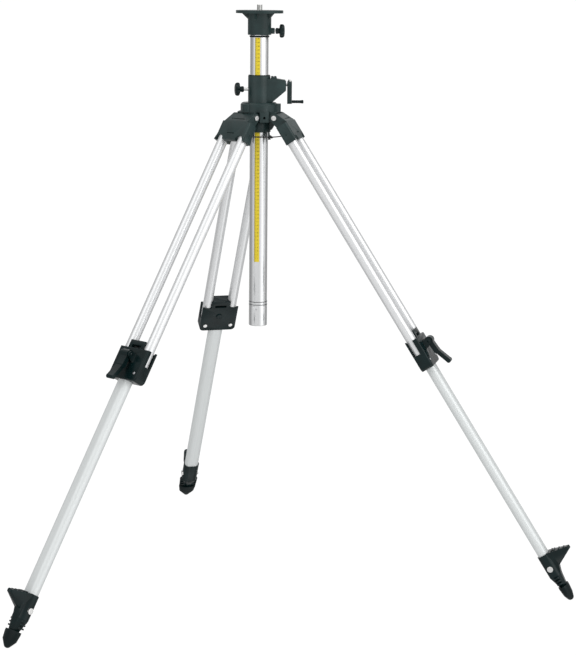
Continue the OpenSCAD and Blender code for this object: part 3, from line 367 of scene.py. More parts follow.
def feed(tree, socket, value):
    """Links an output to a socket, or sets the socket's own value"""
    if isinstance(value, bpy.types.NodeSocket):
        tree.links.new(value, socket)
    else:
        socket.default_value = value


def add(tree, kind, sockets=None, **settings):
    """One shader node with its settings, fed by values or by other nodes' outputs"""
    made = tree.nodes.new(kind)
    for name, value in settings.items():
        setattr(made, name, value)
    for name, value in (sockets or {}).items():
        feed(tree, made.inputs[name], value)
    return made


def math_node(tree, operation, a, b):
    """Result of a sum on two values or outputs"""
    return add(tree, "ShaderNodeMath", {0: a, 1: b}, operation=operation).outputs["Value"]


def dot_product(tree, place, way):
    """How far a place lies along a direction"""
    made = add(tree, "ShaderNodeVectorMath", {0: place, 1: way}, operation="DOT_PRODUCT")
    return made.outputs["Value"]


def colour_mix(tree, share, first, second):
    """Colour that goes from the first to the second as the share rises"""
    sockets = {MIX_SHARE: share, MIX_FIRST: first, MIX_SECOND: second}
    return add(tree, "ShaderNodeMix", sockets, data_type="RGBA").outputs[MIX_RESULT]


def shader_mix(tree, share, first, second):
    """Surface that goes from the first shader to the second as the share rises"""
    return add(tree, "ShaderNodeMixShader", {"Fac": share, 1: first, 2: second}).outputs["Shader"]


def start_finish(name):
    """New finish on Object coordinates: its node tree, its shader and the coordinates"""
    material = bpy.data.materials.new(name)
    material.use_nodes = True
    tree = material.node_tree
    place = add(tree, "ShaderNodeTexCoord").outputs["Object"]
    FINISHES[name] = material
    return tree, tree.nodes["Principled BSDF"], place


def shades(tree, source, colour, shares, low=DRIFT_LOW, high=DRIFT_HIGH):
    """A colour that drifts from its darkest to its lightest shade over part of a noise's range"""
    ramp = add(tree, "ShaderNodeValToRGB", {"Fac": source})
    for stop, share, position in zip(ramp.color_ramp.elements, shares, (low, high)):
        stop.color = (*(min(1.0, channel * share) for channel in colour), 1)
        stop.position = position
    return ramp.outputs["Color"]


def gloss(tree, shader, source, low, high):
    """A roughness that drifts between two levels"""
    level = add(tree, "ShaderNodeMapRange", {
        "Value": source, "From Min": DRIFT_LOW, "From Max": DRIFT_HIGH, "To Min": low, "To Max": high})
    feed(tree, shader.inputs["Roughness"], level.outputs["Result"])


def relief(tree, shader, source, strength, depth):
    """Fine relief of the surface, of a depth in metres"""
    bump = add(tree, "ShaderNodeBump", {"Height": source, "Strength": strength, "Distance": depth})
    feed(tree, shader.inputs["Normal"], bump.outputs["Normal"])


def noise(tree, place, scale, detail=2.0):
    """Cloudy value between 0 and 1"""
    return add(tree, "ShaderNodeTexNoise", {
        "Vector": place, "Scale": scale, "Detail": detail}).outputs["Fac"]


def grained(name, colour, grain, strength, rough, specular):
    """Coated, moulded or rubber surface with an even grain"""
    tree, shader, place = start_finish(name)
    cloud = noise(tree, place, CLOUD_SCALE)
    feed(tree, shader.inputs["Base Color"], shades(tree, cloud, colour, GRAINED_SHARES))
    gloss(tree, shader, noise(tree, place, GLOSS_SCALE), rough - ROUGH_LESS, rough + ROUGH_MORE)
    relief(tree, shader, noise(tree, place, grain, detail=3), strength, GRAIN_DEPTH)
    shader.inputs["Specular IOR Level"].default_value = specular


def drawn_metal(name, colour, turn, low, high, metal=1.0):
    """Metal with drawing marks that run along the piece"""
    tree, shader, place = start_finish(name)
    along = add(tree, "ShaderNodeMapping", {
        "Vector": place, "Rotation": turn, "Scale": DRAWN_MARK}, vector_type="TEXTURE")
    marks = noise(tree, along.outputs["Vector"], scale=1, detail=3)
    feed(tree, shader.inputs["Base Color"], shades(tree, marks, colour, DRAWN_SHARES))
    gloss(tree, shader, marks, low, high)
    shader.inputs["Metallic"].default_value = metal


def plated(name, colour, rough, scale):
    """Plated or machined metal with faint cloudiness"""
    tree, shader, place = start_finish(name)
    cloud = noise(tree, place, scale, detail=3)
    feed(tree, shader.inputs["Base Color"], shades(tree, cloud, colour, PLATED_SHARES))
    gloss(tree, shader, cloud, rough - ROUGH_LESS, rough + ROUGH_MORE)
    shader.inputs["Metallic"].default_value = 1.0


def printed_scale(name, colour, low_z):
    """Yellow tape with millimetre, five millimetre and centimetre marks"""
    tree, shader, place = start_finish(name)
    side = dot_product(tree, place, (-math.sin(SCALE_AZIMUTH), math.cos(SCALE_AZIMUTH), 0))
    across = math_node(tree, "MULTIPLY", side, 1 / MM)
    height = add(tree, "ShaderNodeSeparateXYZ", {"Vector": place}).outputs["Z"]
    rise = math_node(tree, "MULTIPLY", math_node(tree, "SUBTRACT", height, low_z), 1 / MM)
    marks = 0.0
    for step, width, length in SCALE_MARKS:
        phase = math_node(tree, "PINGPONG", rise, step / 2)
        line = math_node(tree, "LESS_THAN", phase, width / 2)
        near = math_node(tree, "LESS_THAN", across, length - SCALE_HALF)
        marks = math_node(tree, "MAXIMUM", math_node(tree, "MULTIPLY", line, near), marks)
    cloud = noise(tree, place, TAPE_SCALE)
    ground = shades(tree, cloud, colour, TAPE_SHARES, low=0, high=1)
    feed(tree, shader.inputs["Base Color"], colour_mix(tree, marks, ground, MARK_BLACK))
    gloss(tree, shader, cloud, *TAPE_ROUGH)


def braided(name, colour):
    """Braid whose strands cross on the cord"""
    tree, shader, place = start_finish(name)
    strands = []
    for hand in (1, -1):
        turn = add(tree, "ShaderNodeMapping", {"Vector": place, "Rotation": BRAID_TURN * hand})
        wave = add(tree, "ShaderNodeTexWave", {
            "Vector": turn.outputs["Vector"], "Scale": BRAID_SCALE, "Distortion": BRAID_WANDER})
        strands.append(wave.outputs["Fac"])
    weave = math_node(tree, "MULTIPLY", *strands)
    feed(tree, shader.inputs["Base Color"], shades(tree, weave, colour, BRAID_SHARES))
    relief(tree, shader, weave, BRAID_STRENGTH, BRAID_DEPTH)
    shader.inputs["Roughness"].default_value = BRAID_ROUGH
    shader.inputs["Sheen Weight"].default_value = BRAID_SHEEN


def make_finishes(colours):
    """Every finish of the tripod: castings, mouldings, tubes, fasteners, tape and cord"""
    grained("black_paint", colours.coat, grain=1400, strength=0.16, rough=0.36, specular=0.38)
    grained("black_plastic", colours.plastic, grain=2000, strength=0.08, rough=0.22, specular=0.24)
    grained("rubber", colours.rubber, grain=1100, strength=0.2, rough=0.4, specular=0.18)
    grained("print", colours.ink, grain=800, strength=0.02, rough=0.45, specular=0.3)
    drawn_metal("aluminium_column", colours.aluminium, (0, 0, 0), low=0.2, high=0.26)
    for side in SIDES:
        turn = tuple(leg_frame(side).to_euler())
        drawn_metal("aluminium_leg_" + side, colours.aluminium, turn, low=0.24, high=0.3, metal=0.5)
        drawn_metal("aluminium_lower_" + side, colours.anodised, turn, low=0.42, high=0.48, metal=0.25)
    plated("zinc", colours.zinc, rough=0.22, scale=300)
    plated("steel", colours.steel, rough=0.32, scale=500)
    plated("brass", colours.brass, rough=0.3, scale=300)
    printed_scale("scale_tape", colours.scale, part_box("column_scale")[0].z)
    braided("cord", colours.cord)


def finish_named(name):
    """A finish by its name, with all of them made at the first call"""
    if not FINISHES:
        make_finishes(bpy.context.scene.tripod_colours)
    return FINISHES[name]


def finish_for(node, body):
    """Name of a node's finish: tubes have one for each body, so that drawing marks follow them"""
    slot = SLOTS[node]
    if slot != "aluminium":
        return slot
    on_leg_tube = body.startswith(("leg_", "lower_"))
    return "aluminium_" + (body if on_leg_tube else "column")


# Shapes

# Distances in metres under which points count as one, or as lying in a plane
WELD = 1e-6
NODE_WELD = 2e-6
TEXT_WELD = 1e-7
PLANE_NEAR = 1e-5

# Angles in degrees under which faces shade as one, and under which they count as one flat face
SMOOTH_CRISP = 30
SMOOTH = 38
SMOOTH_TURNED = 40
SMOOTH_SOFT = 50
SMOOTH_CORD = 60
SMOOTH_ALL = 180
FLAT = 0.4

TURN_STEPS = 56
CORNER_SEGMENTS = 6
BOLT_STEPS = 48

# Outline of a bolt head by shares of its radius and height, and the ring that its socket takes up
BOLT_SHARES = (
    (0, 0.35), (0.36, 0.35), (0.4, 0.94), (0.5, 1), (0.78, 0.86), (0.95, 0.5), (1, 0.2), (1, 0), (0, 0))
SOCKET_FLOOR_SHARE = 0.3
SOCKET_INNER_SHARE, SOCKET_OUTER_SHARE = 0.3, 0.45
SOCKET_SPREAD = 1.08

# One turn of a thread by shares of its depth and pitch
THREAD_DEPTH_SHARE = 0.6
THREAD_SHARES = ((1, 0.06), (0, 0.44), (0, 0.56), (1, 0.94), (1, 1.06))
THREAD_STEPS = 40
THREAD_SPARE_TURNS = 2
THREAD_WELD_SHARE = 0.01


def leg_frame(side):
    """Leg coordinates: x outward, y along the hinge, z up the leg"""
    hinge = JOINTS["leg_fold_" + side]
    out = Vector(JOINTS["shoe_lift_" + side]["axis"])
    across = Vector(hinge["axis"])
    up = Vector(JOINTS["leg_slide_" + side]["axis"])
    made = Matrix((out, across, up)).transposed().to_4x4()
    made.translation = Vector(hinge["pos_m"])
    return made


def axis_frame(origin, axis):
    """Frame whose z axis runs along an axis"""
    made = Vector((0, 0, 1)).rotation_difference(Vector(axis)).to_matrix().to_4x4()
    made.translation = origin
    return made


def moved(bm, matrix):
    """A shape put in its place"""
    bmesh.ops.transform(bm, matrix=matrix, verts=bm.verts)
    return bm


def on_leg(bm, side, place, axis):
    """Puts a shape on a leg, with its z axis along an axis of the leg"""
    return moved(bm, leg_frame(side) @ axis_frame(place * MM, axis))


def flank(place, mark):
    """A place on a leg, on one flank or on the other"""
    return Vector((place.x, mark * place.y, place.z))


def closed(bm):
    """Merges what meets and turns all faces outwards"""
    bmesh.ops.remove_doubles(bm, verts=bm.verts, dist=WELD)
    bmesh.ops.recalc_face_normals(bm, faces=bm.faces)
    return bm


def chain(bm, points):
    """A line of edges through points"""
    verts = [bm.verts.new(point) for point in points]
    for pair in zip(verts, verts[1:]):
        bm.edges.new(pair)


def spun(bm, steps, turns=1, rise=0.0):
    """Turns a line or ring about z, in a full circle or climbing by a rise at each step"""
    bmesh.ops.spin(
        bm, geom=bm.verts[:] + bm.edges[:], cent=(0, 0, 0), axis=(0, 0, 1), dvec=(0, 0, rise),
        angle=2 * math.pi * turns, steps=steps * turns, use_merge=rise == 0, use_duplicate=False)


def turned(points, steps=TURN_STEPS):
    """Lathe work on the z axis from radii and heights in millimetres"""
    bm = bmesh.new()
    chain(bm, [(r * MM, 0, z * MM) for r, z in points])
    spun(bm, steps)
    return closed(bm)


def joined(parts):
    """Several bmeshes in one"""
    whole = bmesh.new()
    for bm in parts:
        step = bpy.data.meshes.new("step")
        bm.to_mesh(step)
        bm.free()
        whole.from_mesh(step)
        bpy.data.meshes.remove(step)
    return whole


def loose(name, bm, slot, smooth, finish=None):
    """Puts a shape in the scene with its finish, and smooth where its faces turn less than an angle"""
    bm.normal_update()
    for f in bm.faces:
        f.smooth = True
    for e in bm.edges:
        e.smooth = len(e.link_faces) == 2 and e.calc_face_angle(0) < math.radians(smooth)
    mesh = bpy.data.meshes.new(name)
    bm.to_mesh(mesh)
    bm.free()
    made = bpy.data.objects.new(name, mesh)
    bpy.context.scene.collection.objects.link(made)
    mesh.materials.append(finish_named(finish or slot))
    return made


def piece(name, bm, body, slot, smooth=SMOOTH, finish=None):
    """Puts a shape in the scene on its body, with the finish of its slot unless another is named"""
    made = loose(name, bm, slot, smooth, finish)
    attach(made, body)
    return made


def rounded(bm, edges, offset, segments):
    """Rounds edges, no further than their faces have room for"""
    bmesh.ops.bevel(
        bm, geom=edges, offset=offset, offset_type="OFFSET", affect="EDGES", segments=segments,
        profile=0.5, material=-1, clamp_overlap=True, loop_slide=True)


def softened(node, edge, sharp=32.0, least=2.0, segments=2, corner=0.0, at=None):
    """Copy of a construction node with its edges rounded, in place of the node

    The edges rounded turn more than sharp degrees and are longer than least millimetres.
    Where a corner radius is given, the edges that the test at picks are rounded by it first.
    """
    bm = bmesh.new()
    bm.from_mesh(NODES[node].data)
    bmesh.ops.remove_doubles(bm, verts=bm.verts, dist=NODE_WELD)
    bmesh.ops.dissolve_limit(
        bm, angle_limit=math.radians(FLAT), verts=bm.verts, edges=bm.edges, use_dissolve_boundaries=False)
    if corner > 0:
        rounded(bm, [e for e in bm.edges if at(e)], corner, CORNER_SEGMENTS)
    if edge > 0:
        limit = math.radians(sharp)
        chosen = [
            e for e in bm.edges
            if len(e.link_faces) == 2 and e.calc_face_angle(0) > limit and e.calc_length() > least * MM
        ]
        rounded(bm, chosen, edge, segments)
    body = NODES[node]["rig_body"]
    made = piece(node + "_finished", bm, body, SLOTS[node], finish=finish_for(node, body))
    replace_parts(made, node)
    return made


def knob_shape(sizes):
    """Mushroom knob with finger dips, from its inner end along z"""
    rim = sizes.knob_radius / MM
    cap = tuple((rim - inset, height) for inset, height in KNOB_CAP)
    bm = turned(KNOB_STEM + cap + ((KNOB_TOP_R, KNOB_TOP), (0, KNOB_TOP)), KNOB_STEPS)
    for v in bm.verts:
        reach = math.hypot(v.co.x, v.co.y)
        share = max(0.0, (reach / MM - DIP_START_R) / (rim - DIP_START_R))
        if v.co.z > KNOB_CAP_LOW * MM and share > 0:
            wave = 0.5 - 0.5 * math.cos(sizes.knob_lobes * math.atan2(v.co.y, v.co.x))
            dip = sizes.knob_dip * share ** DIP_REACH_POWER * wave ** DIP_TURN_POWER
            v.co.x *= 1 - dip / reach
            v.co.y *= 1 - dip / reach
    return bm


def bolt_face(radius, height):
    """Domed bolt head with a six sided socket, standing on z = 0"""
    bm = turned([(r * radius, z * height) for r, z in BOLT_SHARES], BOLT_STEPS)
    sixth = math.pi / 3
    for v in bm.verts:
        share = math.hypot(v.co.x, v.co.y) / (radius * MM)
        in_ring = SOCKET_INNER_SHARE < share < SOCKET_OUTER_SHARE
        if in_ring and v.co.z > SOCKET_FLOOR_SHARE * height * MM:
            turn = math.atan2(v.co.y, v.co.x) % sixth - sixth / 2
            factor = math.cos(sixth / 2) / math.cos(turn) * SOCKET_SPREAD
            v.co.x *= factor
            v.co.y *= factor
    return bm


def bolt_pair(name, side, body, slot, head, place, axis=None):
    """Two like bolts on the flanks of a leg, which face outward unless an axis is given"""
    bolts = [
        on_leg(bolt_face(*head), side, flank(place, mark), axis or (0, mark, 0)) for mark in (-1, 1)
    ]
    piece(name + "_" + side, joined(bolts), body + "_" + side, slot, SMOOTH_TURNED)


def thread(radius, pitch, low, high):
    """Threaded bar on z between two heights, in metres"""
    depth = THREAD_DEPTH_SHARE * pitch
    start = low - pitch
    bm = bmesh.new()
    chain(bm, [(radius - deep * depth, 0, start + along * pitch) for deep, along in THREAD_SHARES])
    turns = math.ceil((high - low) / pitch) + THREAD_SPARE_TURNS
    spun(bm, THREAD_STEPS, turns, pitch / THREAD_STEPS)
    bmesh.ops.remove_doubles(bm, verts=bm.verts, dist=pitch * THREAD_WELD_SHARE)
    for height, up in ((low, -1), (high, 1)):
        bmesh.ops.bisect_plane(
            bm, geom=bm.verts[:] + bm.edges[:] + bm.faces[:], plane_co=(0, 0, height),
            plane_no=(0, 0, up), clear_outer=True)
        rim = [
            e for e in bm.edges
            if e.is_boundary and all(abs(v.co.z - height) < PLANE_NEAR for v in e.verts)
        ]
        bmesh.ops.edgeloop_fill(bm, edges=rim)
    bmesh.ops.recalc_face_normals(bm, faces=bm.faces)
    return bm


def meshed(data):
    """A curve or text as a bmesh, with the curve itself removed"""
    holder = bpy.data.objects.new(data.name, data)
    bpy.context.scene.collection.objects.link(holder)
    bpy.context.view_layer.update()
    mesh = bpy.data.meshes.new_from_object(
        holder.evaluated_get(bpy.context.evaluated_depsgraph_get()))
    bpy.data.objects.remove(holder)
    bpy.data.curves.remove(data)
    bm = bmesh.new()
    bm.from_mesh(mesh)
    bpy.data.meshes.remove(mesh)
    return bm


def tube_along(points, radius):
    """Round cord through points, with closed ends"""
    curve = bpy.data.curves.new("tube", "CURVE")
    curve.dimensions = "3D"
    curve.bevel_depth = radius
    curve.bevel_resolution = 4
    curve.use_fill_caps = True
    spline = curve.splines.new("POLY")
    spline.points.add(len(points) - 1)
    for point, place in zip(spline.points, points):
        point.co = (*place, 1)
    return closed(meshed(curve))


# Operators


class TRIPOD_OT_stage(bpy.types.Operator):
    """Camera at the photograph's angle, white floor and soft studio light"""

    bl_idname = "tripod.stage"
    bl_label = "Stage"

    def execute(self, context):
        light = context.scene.tripod_light
        self.camera(context)
        self.surround(context, light)
        self.floor(context, light)
        self.lamp(context, "key", light.key, KEY_PLACE)
        self.lamp(context, "fill", light.fill, FILL_PLACE)
        context.scene.view_settings.view_transform = "Standard"
        return {"FINISHED"}

    def camera(self, context):
        """Camera turned by yaw, pitch and roll from a level view along y"""
        data = bpy.data.cameras.new("camera")
        data.sensor_fit = "HORIZONTAL"
        data.sensor_width = SENSOR_WIDTH
        data.lens = FOCAL_LENGTH / PICTURE_WIDTH * SENSOR_WIDTH
        data.clip_end = VIEW_END
        yaw, pitch, roll = (math.radians(angle) for angle in CAMERA_TURN)
        level = Vector((math.cos(yaw), -math.sin(yaw), 0))
        ahead = Vector((math.sin(yaw) * math.cos(pitch), math.cos(yaw) * math.cos(pitch), -math.sin(pitch)))
        above = level.cross(ahead)
        right = level * math.cos(roll) - above * math.sin(roll)
        up = level * math.sin(roll) + above * math.cos(roll)
        made = bpy.data.objects.new("camera", data)
        turn = Matrix((right, up, -ahead)).transposed().to_4x4()
        turn.translation = CAMERA_PLACE
        made.matrix_world = turn
        context.scene.collection.objects.link(made)
        context.scene.camera = made

    def seen(self, tree, path):
        """Whether the camera sees a surface directly or through something clear"""
        return math_node(tree, "MAXIMUM", path["Is Camera Ray"], path["Is Transmission Ray"])

    def surround(self, context, light):
        """White for the camera, a studio with dim sides for reflections, a soft level for the rest"""
        world = bpy.data.worlds.new("surround")
        context.scene.world = world
        world.use_nodes = True
        world.cycles.sampling_method = "NONE"
        tree = world.node_tree
        path = add(tree, "ShaderNodeLightPath").outputs
        way = add(tree, "ShaderNodeTexCoord").outputs["Generated"]
        soft = tree.nodes["Background"]
        soft.inputs["Color"].default_value = WHITE
        soft.inputs["Strength"].default_value = light.ambient
        studio = add(tree, "ShaderNodeBackground", {
            "Color": self.studio(tree, way), "Strength": self.soft_boxes(tree, way)})
        white = add(tree, "ShaderNodeBackground", {"Color": WHITE, "Strength": 1.0})
        mirrored = shader_mix(
            tree, path["Is Glossy Ray"], soft.outputs["Background"], studio.outputs["Background"])
        whole = shader_mix(tree, self.seen(tree, path), mirrored, white.outputs["Background"])
        feed(tree, tree.nodes["World Output"].inputs["Surface"], whole)

    def soft_boxes(self, tree, way):
        """Level of the studio, raised where its lamps stand"""
        level = STUDIO_LEVEL
        for turn, rise, gain in SOFT_BOXES:
            turn, rise = math.radians(turn), math.radians(rise)
            ahead = (math.sin(turn) * math.cos(rise), -math.cos(turn) * math.cos(rise), math.sin(rise))
            edge = add(tree, "ShaderNodeMapRange", {
                "Value": dot_product(tree, way, ahead),
                "From Min": math.cos(math.radians(SOFT_BOX_OUTER)),
                "From Max": math.cos(math.radians(SOFT_BOX_INNER)), "To Min": 0.0, "To Max": gain})
            level = math_node(tree, "ADD", edge.outputs["Result"], level)
        return level

    def studio(self, tree, way):
        """Brightness round the studio, from behind the subject on its left to behind it on its right"""
        axes = add(tree, "ShaderNodeSeparateXYZ", {"Vector": way}).outputs
        turn = math_node(tree, "ARCTAN2", axes["X"], math_node(tree, "MULTIPLY", axes["Y"], -1.0))
        share = math_node(tree, "ADD", math_node(tree, "DIVIDE", turn, 2 * math.pi), 0.5)
        ramp = add(tree, "ShaderNodeValToRGB", {"Fac": share})
        stops = ramp.color_ramp.elements
        while len(stops) < len(STUDIO):
            stops.new(0.5)
        for stop, (angle, level) in zip(stops, STUDIO):
            stop.position = angle / 360 + 0.5
            level /= STUDIO_LEVEL
            stop.color = (level, level, level, 1)
        above = add(tree, "ShaderNodeMapRange", {
            "Value": axes["Z"], "From Min": CEILING_LOW, "From Max": CEILING_HIGH})
        return colour_mix(tree, above.outputs["Result"], ramp.outputs["Color"], CEILING_GREY)

    def floor(self, context, light):
        """Pale floor that takes the shadows, and is nearly white where the camera sees it"""
        bm = bmesh.new()
        bmesh.ops.create_grid(bm, x_segments=4, y_segments=4, size=FLOOR_HALF)
        bmesh.ops.translate(bm, verts=bm.verts, vec=(0, 0, -FLOOR_DROP))
        mesh = bpy.data.meshes.new("floor")
        bm.to_mesh(mesh)
        bm.free()
        made = bpy.data.objects.new("floor", mesh)
        context.scene.collection.objects.link(made)
        material = bpy.data.materials.new("pale_floor")
        material.use_nodes = True
        tree = material.node_tree
        tree.nodes.remove(tree.nodes["Principled BSDF"])
        path = add(tree, "ShaderNodeLightPath").outputs
        matt = add(tree, "ShaderNodeBsdfDiffuse", {"Color": FLOOR_GREY})
        glow = add(tree, "ShaderNodeEmission", {"Color": WHITE, "Strength": light.floor_level})
        share = math_node(tree, "MULTIPLY", self.seen(tree, path), light.floor_glow)
        whole = shader_mix(tree, share, matt.outputs["BSDF"], glow.outputs["Emission"])
        feed(tree, tree.nodes["Material Output"].inputs["Surface"], whole)
        mesh.materials.append(material)
        made.visible_glossy = False

    def lamp(self, context, name, power, place):
        """Square lamp aimed at the middle of the tripod, unseen in reflections"""
        data = bpy.data.lights.new(name, "AREA")
        data.energy = power
        data.size = LAMP_SIZE
        made = bpy.data.objects.new(name, data)
        turn = (LAMP_AIM - Vector(place)).to_track_quat("-Z", "Y")
        made.matrix_world = Matrix.Translation(place) @ turn.to_matrix().to_4x4()
        made.visible_glossy = False
        context.scene.collection.objects.link(made)


class TRIPOD_OT_cord(bpy.types.Operator):
    """Spreader cord between the left and right leg heads, with its knot"""

    bl_idname = "tripod.cord"
    bl_label = "Spreader Cord"

    def execute(self, context):
        sizes = context.scene.tripod_sizes
        radius = sizes.cord_radius
        knot_place = CORD_LEFT.lerp(CORD_RIGHT, KNOT_SHARE) - Vector((0, 0, sizes.cord_sag))
        way = (CORD_RIGHT - CORD_LEFT).normalized()
        knot = self.knot(knot_place, way, radius)
        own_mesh(knot)
        for side, eye in (("left", CORD_LEFT), ("right", CORD_RIGHT)):
            points = self.route(eye, knot_place, sizes.cord_sag)
            made = loose("spreader_cord_" + side, tube_along(points, radius), "cord", SMOOTH_ALL)
            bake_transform(made)
            loop = self.loop(side, radius)
            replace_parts(made, "spreader_cord")
        return {"FINISHED"}

    def route(self, eye, knot_place, sag):
        """Gently hanging line from an eye to the knot"""
        points = []
        for i in range(CORD_STEPS + 1):
            share = i / CORD_STEPS
            point = eye.lerp(knot_place, share)
            point.z -= sag * CORD_BOW * share * (1 - share)
            points.append(point)
        return points

    def knot(self, place, way, radius):
        """Overhand knot: a trefoil drawn out along the cord"""
        points = []
        for i in range(KNOT_STEPS + 1):
            turn = 2 * math.pi * i / KNOT_STEPS
            trefoil = Vector((
                math.cos(turn) - 2 * math.cos(2 * turn), -math.sin(3 * turn),
                math.sin(turn) + 2 * math.sin(2 * turn)))
            points.append(trefoil * KNOT_SPREAD)
        bm = moved(tube_along(points, radius * KNOT_CORD_SHARE), axis_frame(place, way))
        return piece("cord_knot", bm, "hub", "cord", SMOOTH_CORD)

    def loop(self, side, radius):
        """Turn of cord round the eye of a leg head"""
        bm = bmesh.new()
        middle = Vector((LOOP_R * MM, 0, 0))
        ring = bmesh.ops.create_circle(bm, segments=LOOP_SIDES, radius=radius)["verts"]
        bmesh.ops.translate(bm, verts=ring, vec=middle)
        bmesh.ops.rotate(bm, verts=ring, cent=middle, matrix=Matrix.Rotation(math.pi / 2, 3, "X"))
        spun(bm, LOOP_STEPS)
        closed(bm)
        eye = flank(EYE_PLACE, 1 if side == "left" else -1)
        stand = Matrix.Translation(eye * MM) @ Matrix.Rotation(math.pi / 2, 4, "X")
        moved(bm, leg_frame(side) @ stand)
        return piece("cord_loop_" + side, bm, "leg_" + side, "cord", SMOOTH_CORD)


class TRIPOD_OT_head(bpy.types.Operator):
    """Head plate, threaded stud, and the two clamp knobs with their screws"""

    bl_idname = "tripod.head"
    bl_label = "Head"

    def execute(self, context):
        sizes = context.scene.tripod_sizes
        softened("head_plate", sizes.casting_edge)
        self.stud(sizes.thread_pitch)
        for knob in KNOBS:
            self.knob(sizes, *knob)
        for node in ("head_screw", "clamp_screw", "clamp_pad"):
            softened(node, 0)
        return {"FINISHED"}

    def stud(self, pitch):
        """Fixing stud: a flange and core inside the plate, and the thread above it"""
        plate_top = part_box("head_plate")[1].z
        base, stud_top = (corner.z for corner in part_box("head_stud"))
        core_r = STUD_R - STUD_SHOULDER
        core_top = (plate_top - base) / MM + STUD_OVERLAP
        seat = turned([
            (0, 0), (STUD_FLANGE_R, 0), (STUD_FLANGE_R, STUD_FLANGE_H),
            (core_r, STUD_FLANGE_H + STUD_SHOULDER), (core_r, core_top), (0, core_top)])
        moved(seat, Matrix.Translation((0, 0, base)))
        screw = thread(STUD_R * MM, pitch, plate_top - THREAD_START * MM, stud_top)
        made = piece("fixing_stud", joined([seat, screw]), "head", "zinc", SMOOTH_CRISP)
        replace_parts(made, "head_stud")

    def knob(self, sizes, joint, start, name, body, node):
        """Clamp knob on the axis of its joint"""
        axis = Vector(JOINTS[joint]["axis"])
        place = Vector(JOINTS[joint]["pos_m"]) + axis * start * MM
        bm = moved(knob_shape(sizes), axis_frame(place, axis))
        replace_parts(piece(name, bm, body, "black_plastic", SMOOTH_SOFT), node)


class TRIPOD_OT_column(bpy.types.Operator):
    """Column tube, rack, end sleeve, buffer ring and printed scale"""

    bl_idname = "tripod.column"
    bl_label = "Column"

    def execute(self, context):
        for node in ("column_tube", "column_end"):
            softened(node, FINE_EDGE, least=1.0)
        for node in ("column_rack", "column_ring", "column_scale"):
            softened(node, 0)
        self.numbers(context.scene.tripod_sizes.number_step)
        self.end_marks()
        return {"FINISHED"}

    def end_marks(self):
        """Dark rings of painted shade in the grooves round the end sleeve, and its locking screw"""
        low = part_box("column_end")[0].z
        shade_rings = []
        for height in SHADE_RING_HEIGHTS:
            ring = turned([(COLUMN_R + out, up) for out, up in SHADE_RING_OUTLINE], SHADE_RING_STEPS)
            shade_rings.append(moved(ring, Matrix.Translation((0, 0, low + height * MM))))
        # The dark rubber-finished rings paint the shade that falls in the two grooves of the end sleeve
        piece("column_groove_shade", joined(shade_rings), "column", "rubber", SMOOTH_SOFT)
        out = Vector((math.cos(SCALE_AZIMUTH), math.sin(SCALE_AZIMUTH), 0))
        place = out * (COLUMN_R - END_SCREW_SUNK) * MM
        place.z = low + END_SCREW_HEIGHT * MM
        screw = moved(bolt_face(*END_SCREW), axis_frame(place, out))
        piece("column_end_screw", screw, "column", "steel", SMOOTH_TURNED)

    def numbers(self, step):
        """Centimetre numbers bent round the tape"""
        low, high = (corner.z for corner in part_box("column_scale"))
        parts = []
        for height in range(step, int((high - low) / MM), step):
            text = bpy.data.curves.new("number", "FONT")
            text.body = str(height // CENTIMETRE)
            text.size = NUMBER_SIZE * MM
            text.extrude = NUMBER_THICK * MM
            text.align_x = "CENTER"
            text.align_y = "CENTER"
            text.resolution_u = 2
            bm = meshed(text)
            bmesh.ops.remove_doubles(bm, verts=bm.verts, dist=TEXT_WELD)
            for v in bm.verts:
                turn = SCALE_AZIMUTH + (v.co.x / MM + NUMBER_ASIDE) / COLUMN_R
                reach = (COLUMN_R + NUMBER_PROUD) * MM + v.co.z
                v.co = Vector((reach * math.cos(turn), reach * math.sin(turn), low + height * MM + v.co.y))
            parts.append(bm)
        piece("scale_numbers", joined(parts), "column", "scale_tape", SMOOTH_CRISP, finish="print")


class TRIPOD_OT_hub(bpy.types.Operator):
    """Hub casting with its cover, screws and bushes"""

    bl_idname = "tripod.hub"
    bl_label = "Hub"

    def execute(self, context):
        sizes = context.scene.tripod_sizes
        softened("hub", sizes.casting_edge)
        softened("gear_cover", sizes.casting_edge)
        for node in ("gear_cover_screws", "column_bushes"):
            softened(node, SCREW_EDGE)
        softened("shaft_bush", 0)
        return {"FINISHED"}


class TRIPOD_OT_drive(bpy.types.Operator):
    """Crank with its grip, and the gears inside the hub"""

    bl_idname = "tripod.drive"
    bl_label = "Drive"

    def execute(self, context):
        softened("crank_arm", context.scene.tripod_sizes.casting_edge)
        softened("crank_set_screw", SET_SCREW_EDGE)
        for node in ("crank_shaft", "pinion_shaft", "bevel_gear"):
            softened(node, 0)
        self.grip()
        return {"FINISHED"}

    def grip(self):
        """Waisted grip with three shallow finger rings"""
        low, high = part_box("crank_grip")
        length = (high.x - low.x) / MM
        middle = (low + high) / 2
        points = [(GRIP_BORE_R, 0), *GRIP_START]
        for share in GRIP_RING_SHARES:
            for radius, along in ((GRIP_WAIST_R, -1), (GRIP_RING_R, 0), (GRIP_WAIST_R, 1)):
                points.append((radius, length * share + along * GRIP_RING_HALF))
        points += [(radius, length * share) for radius, share in GRIP_SWELL_SHARES]
        points += [(radius, length - short) for radius, short in GRIP_END]
        points += [(GRIP_BORE_R, length), (GRIP_BORE_R, 0)]
        bm = moved(turned(points, GRIP_STEPS), axis_frame((low.x, middle.y, middle.z), (1, 0, 0)))
        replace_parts(piece("crank_handgrip", bm, "grip", "black_plastic", SMOOTH_TURNED), "crank_grip")


